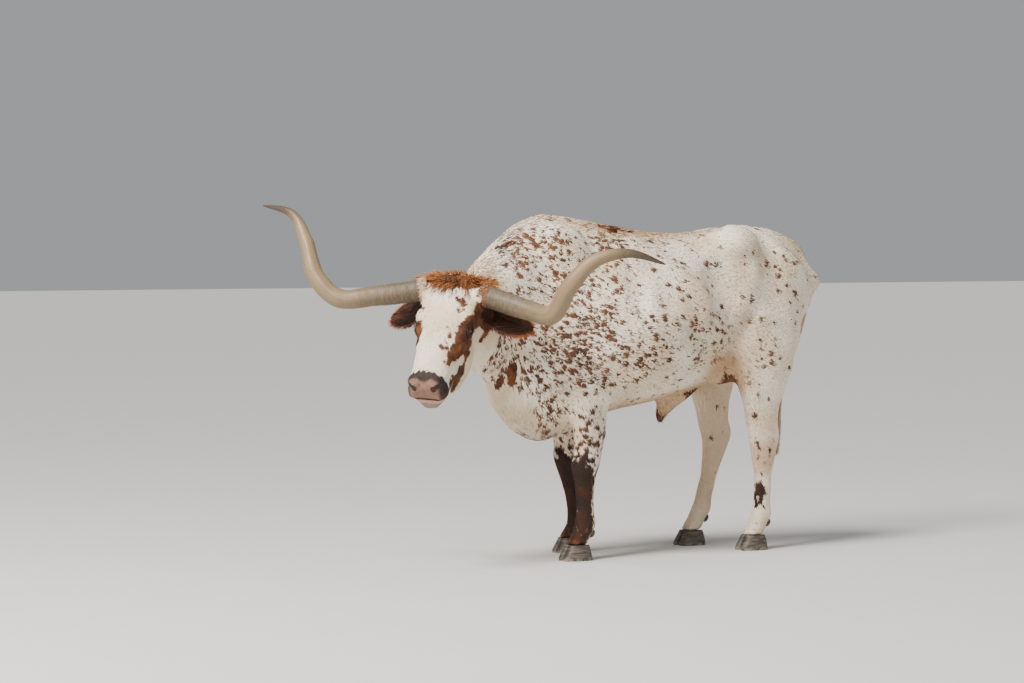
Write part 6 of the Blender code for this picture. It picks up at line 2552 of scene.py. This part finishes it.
@dataclass
class HornCollar:
    """The ring of hair that grows over a horn's root."""

    line: HornLine
    unwrap: Unwrap
    count: int = 1100
    radius: float = 0.0465
    flare: float = 0.0125
    depth: float = 0.028
    lengths: tuple = (0.010, 0.020)
    half: float = 0.0015
    thick: float = 0.0007

    def build(self, material: Material) -> None:
        """Tufts that lie outwards along the horn.

        Args:
            material: the collar's finish.
        """
        draw = np.random.default_rng(SEED + 50 + self.line.side)
        centres = self.line.centres()
        ahead = unit(centres[6] - centres[0])
        first = unit(np.cross(ahead, (0.1, 0.2, 1.0)))
        second = np.cross(ahead, first)
        angle = draw.uniform(0.0, math.tau, self.count)
        outward = np.outer(np.cos(angle), first) + np.outer(np.sin(angle), second)
        share = draw.uniform(0.0, 1.0, (self.count, 1))
        reach = self.radius + self.flare * (1.0 - share)
        roots = centres[0] + outward * reach - ahead * (self.depth * (1.0 - share))
        lean = ahead - outward * (0.30 - 0.25 * share) + draw.normal(0.0, 0.14, (self.count, 3))
        lean = unit(lean)
        side = unit(np.cross(outward, lean))
        spots = self.unwrap.locate(roots, outward, np.zeros(self.count, int))
        hair = Hair(roots, lean, side, outward * 0.10, draw.uniform(*self.lengths, self.count),
                    self.half * draw.uniform(0.7, 1.3, self.count), np.full(self.count, self.thick),
                    np.zeros((self.count, len(Channel))), spots, LOCK)
        finish_piece(hair.build("horn_collar_" + side_name(self.line.side), draw), material, Slot.HIDE)


@dataclass
class Studio:
    """Pale floor, soft light and the camera of the photograph."""

    frame: Frame
    camera_place: tuple = (8.3518, 11.8058, 1.44)
    camera_ahead: tuple = (0.49969, 0.86549, -0.03521)
    lens: float = 109.27
    sensor: float = 36.0
    reach: float = 60.0
    target: tuple = (0.0, 0.0, 0.8)
    # Square lamps: name, place, size, power and colour.
    lamps: tuple = (("key", (-7.0, -2.4, 6.2), 2.8, 1150.0, (1.0, 0.955, 0.89)),
                    ("fill", (3.0, -8.5, 3.0), 6.0, 110.0, (0.93, 0.96, 1.0)))
    overhead_spread: float = math.radians(20.0)
    overhead_power: float = 2.9
    overhead_colour: tuple = (1.0, 0.965, 0.91)
    overhead_ahead: tuple = (0.56, 0.16, -1.0)
    sky_colour: tuple = (0.86, 0.88, 0.90, 1.0)
    sky_strength: float = 0.42

    def camera(self) -> None:
        """A long lens, level with the animal's back, thirty degrees ahead of square."""
        data = bpy.data.cameras.new("camera")
        data.lens, data.sensor_width, data.sensor_fit = self.lens, self.sensor, "HORIZONTAL"
        data.clip_end = 200.0
        place = Vector(self.frame.at(np.array(self.camera_place)))
        bpy.context.scene.camera = self.aimed("camera", data, place, Vector(self.camera_ahead))

    @staticmethod
    def aimed(name: str, data: bpy.types.ID, place: Vector, ahead: Vector) -> Object:
        """A camera or lamp at a place, pointed ahead.

        Args:
            name: the object's name.
            data: the camera or lamp.
            place: where it stands.
            ahead: which way it points.

        Returns:
            The new object.
        """
        obj = object_of(name, data)
        turn = ahead.to_track_quat("-Z", "Y")
        obj.matrix_world = Matrix.Translation(place) @ turn.to_matrix().to_4x4()
        return obj

    def floor(self, material: Material) -> None:
        """A wide flat floor."""
        r = self.reach
        obj = mesh_from("floor", np.array([(-r, -r, 0), (r, -r, 0), (r, r, 0), (-r, r, 0)]), [(0, 1, 2, 3)])
        obj.data.materials.append(material)

    def light(self, name: str, place: tuple, size: float, power: float, colour: tuple) -> None:
        """A soft square lamp that points at the animal's middle.

        Args:
            name: the lamp's name.
            place: where it stands.
            size: its side.
            power: its power in watts.
            colour: its colour.
        """
        data = bpy.data.lights.new(name, "AREA")
        data.size, data.energy, data.color = size, power, colour
        self.aimed(name, data, Vector(place), Vector(self.target) - Vector(place))

    def sky_light(self) -> None:
        """A very soft lamp from above that lights animal and floor alike."""
        data = bpy.data.lights.new("overhead", "SUN")
        data.angle, data.energy, data.color = self.overhead_spread, self.overhead_power, self.overhead_colour
        self.aimed("overhead", data, Vector(), Vector(self.overhead_ahead))

    def build(self, material: Material) -> None:
        """Sets the whole studio up.

        Args:
            material: the floor's finish.
        """
        self.camera()
        self.floor(material)
        for lamp in self.lamps:
            self.light(*lamp)
        self.sky_light()
        world = bpy.data.worlds.new("sky")
        world.use_nodes = True
        shade = world.node_tree.nodes["Background"]
        shade.inputs["Color"].default_value = self.sky_colour
        shade.inputs["Strength"].default_value = self.sky_strength
        bpy.context.scene.world = world


def dress_skin(piece: Object, surface: Surface, marks: np.ndarray, region: Region, coat: Coat,
               material: Material, slot: Slot, node: str) -> None:
    """Dresses an ear's leaf or the tail with marks, a map for baking and the skin's finish.

    Args:
        piece: the leaf or the tail.
        surface: its points and normals.
        marks: flecks, brown, dark and tan at each point.
        region: its stretch of coat.
        coat: the coat, which has the layout.
        material: the skin's finish.
        slot: the record's slot, handed on to finish_piece.
        node: the solid that it takes the place of.
    """
    count = len(surface.points)
    store_coat(piece.data, marks, np.zeros(count), np.zeros((count, 4)))
    coat.unwrap.lay(piece, region.over(surface.points))
    finish_piece(piece, material, slot, node)


def grow_on_ears(ears: list, coat: Coat, palette: dict) -> None:
    """Dresses the ears, with short hair on both faces, a fringe and hair in the hollow.

    Args:
        ears: pairs of an ear and its leaf.
        coat: the coat.
        palette: the finishes by name.
    """
    for ear, leaf in ears:
        region, surface = ear.region(), Surface.of(leaf)
        marks = ear.skin_marks(surface)
        dress_skin(leaf, surface, marks, region, coat, palette["skin"], Slot.EAR, ear.node())
        draw = np.random.default_rng(SEED + 60 + ear.side)
        sizes = np.full(len(surface.points), 0.5)
        hair, _ = coat.tufts(surface, sizes, region.over, ear.lie, ear.marks, draw)
        finish_piece(hair.build("coat_" + ear.node(), draw), palette["coat"], Slot.EAR)
        EarHair(ear, coat.unwrap).build(palette["fringe"], palette["ear_inside"])


def grow_on_tail(tail: Tail, skin: Object, coat: Coat, palette: dict) -> None:
    """Dresses the tail's skin and grows its short hair and switch.

    Args:
        tail: the tail.
        skin: its tube.
        coat: the coat.
        palette: the finishes by name.
    """
    surface = Surface.of(skin)
    marks = tail.marks(surface.points)
    dress_skin(skin, surface, marks, Region.TAIL, coat, palette["skin"], Slot.TAIL, "tail")
    draw = np.random.default_rng(SEED + 70)
    sizes = np.full(len(surface.points), 0.6)
    hair, _ = coat.tufts(surface, sizes, Region.TAIL.over, tail.lie, tail.marks, draw)
    finish_piece(hair.build("coat_tail", draw), palette["coat"], Slot.TAIL)
    Switch(tail, coat.unwrap).build(palette["switch"])


def build_finishes() -> dict:
    """Every finish by a short name."""
    locks = {
        "poll": ("poll_hair", (0.16, 0.046, 0.018), (0.56, 0.235, 0.075), (0.24, 0.07, 0.024)),
        "fringe": ("ear_fringe_hair", (0.10, 0.030, 0.012), (0.46, 0.13, 0.035), (0.30, 0.08, 0.025)),
        "ear_inside": ("ear_inner_hair", (0.020, 0.010, 0.008), (0.070, 0.024, 0.012), (0.11, 0.035, 0.015)),
        "switch": ("switch_hair", (0.34, 0.20, 0.10), (0.62, 0.48, 0.28), (0.46, 0.30, 0.15)),
        "collar": ("collar_hair", (0.42, 0.25, 0.14), (0.60, 0.43, 0.28), (0.76, 0.66, 0.52)),
        "collar_brown": ("collar_brown_hair", (0.14, 0.045, 0.020), (0.36, 0.135, 0.050), (0.52, 0.30, 0.16)),
        "lash": ("lash_hair", (0.02, 0.012, 0.01), (0.05, 0.03, 0.02), (0.10, 0.06, 0.04)),
    }
    finishes = {"skin": SkinFinish(), "coat": CoatFinish(), "horn": HornFinish(), "eye": EyeFinish(),
                "hoof": HoofFinish(), "floor": FloorFinish()}
    finishes.update((name, LockFinish(*row)) for name, row in locks.items())
    palette = Palette()
    return {name: finish.build(palette) for name, finish in finishes.items()}


def build_feet(frame: Frame, nodes: dict, material: Material) -> None:
    """The claws, made finer than their solids, and the dewclaws in the same horn.

    Args:
        frame: the animal's axes.
        nodes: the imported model's nodes by name.
        material: the finish of the hooves.
    """
    for leg in LEG_NAMES:
        outward = 1 if "left" in leg else -1
        for toe_out, which in ((outward, "outer"), (-outward, "inner")):
            node = f"claw_{leg}_{which}"
            obj = Claw(frame, leg, toe_out).build(f"hoof_{leg}_{which}")
            finish_piece(obj, material, Slot.HOOF, node)
            dewclaw = nodes[f"dewclaw_{leg}_{which}"]
            dewclaw.data.materials.clear()
            dewclaw.data.materials.append(material)


def main() -> None:
    """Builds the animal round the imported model."""
    logging.basicConfig(level=logging.INFO, format="%(name)s %(relativeCreated)d ms: %(message)s")
    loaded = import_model()
    nodes = loaded["nodes"]
    frame = Frame.from_model()
    anatomy = Anatomy(frame)
    markings = Markings(anatomy)
    palette = build_finishes()
    Studio(frame).build(palette["floor"])

    skin = Skin(frame, anatomy)
    skin.build(nodes)
    tail = Tail(frame)
    tail_skin = tail.build()
    ears = [(ear, ear.build()) for ear in (Ear(frame, side) for side in SIDES)]
    pieces = [(skin.obj, anatomy.regions), (tail_skin, Region.TAIL.over)]
    pieces += [(leaf, ear.region().over) for ear, leaf in ears]
    surfaces = [(Surface.of(piece), regions) for piece, regions in pieces]
    unwrap = Unwrap([(regions(surface.points), surface) for surface, regions in surfaces])
    skin.dress(markings, unwrap, palette["skin"])

    coat = Coat(anatomy, markings, Lie(anatomy), unwrap)
    coat.build(skin, palette["coat"])
    PollTuft(frame, unwrap).build(palette["poll"])
    grow_on_ears(ears, coat, palette)
    grow_on_tail(tail, tail_skin, coat, palette)
    for side in SIDES:
        line = HornLine(frame, side)
        horn = Horn(line)
        horn.dress(horn.build(), palette["horn"])
        HornCollar(line, unwrap).build(palette["collar_brown" if side > 0 else "collar"])
        eye = Eye(EyePlace(frame, side))
        eye.dress(eye.build(), palette["eye"])
        Lashes(eye.place, unwrap).build(palette["lash"])
    build_feet(frame, nodes, palette["hoof"])


if __name__ == "__main__":
    main()
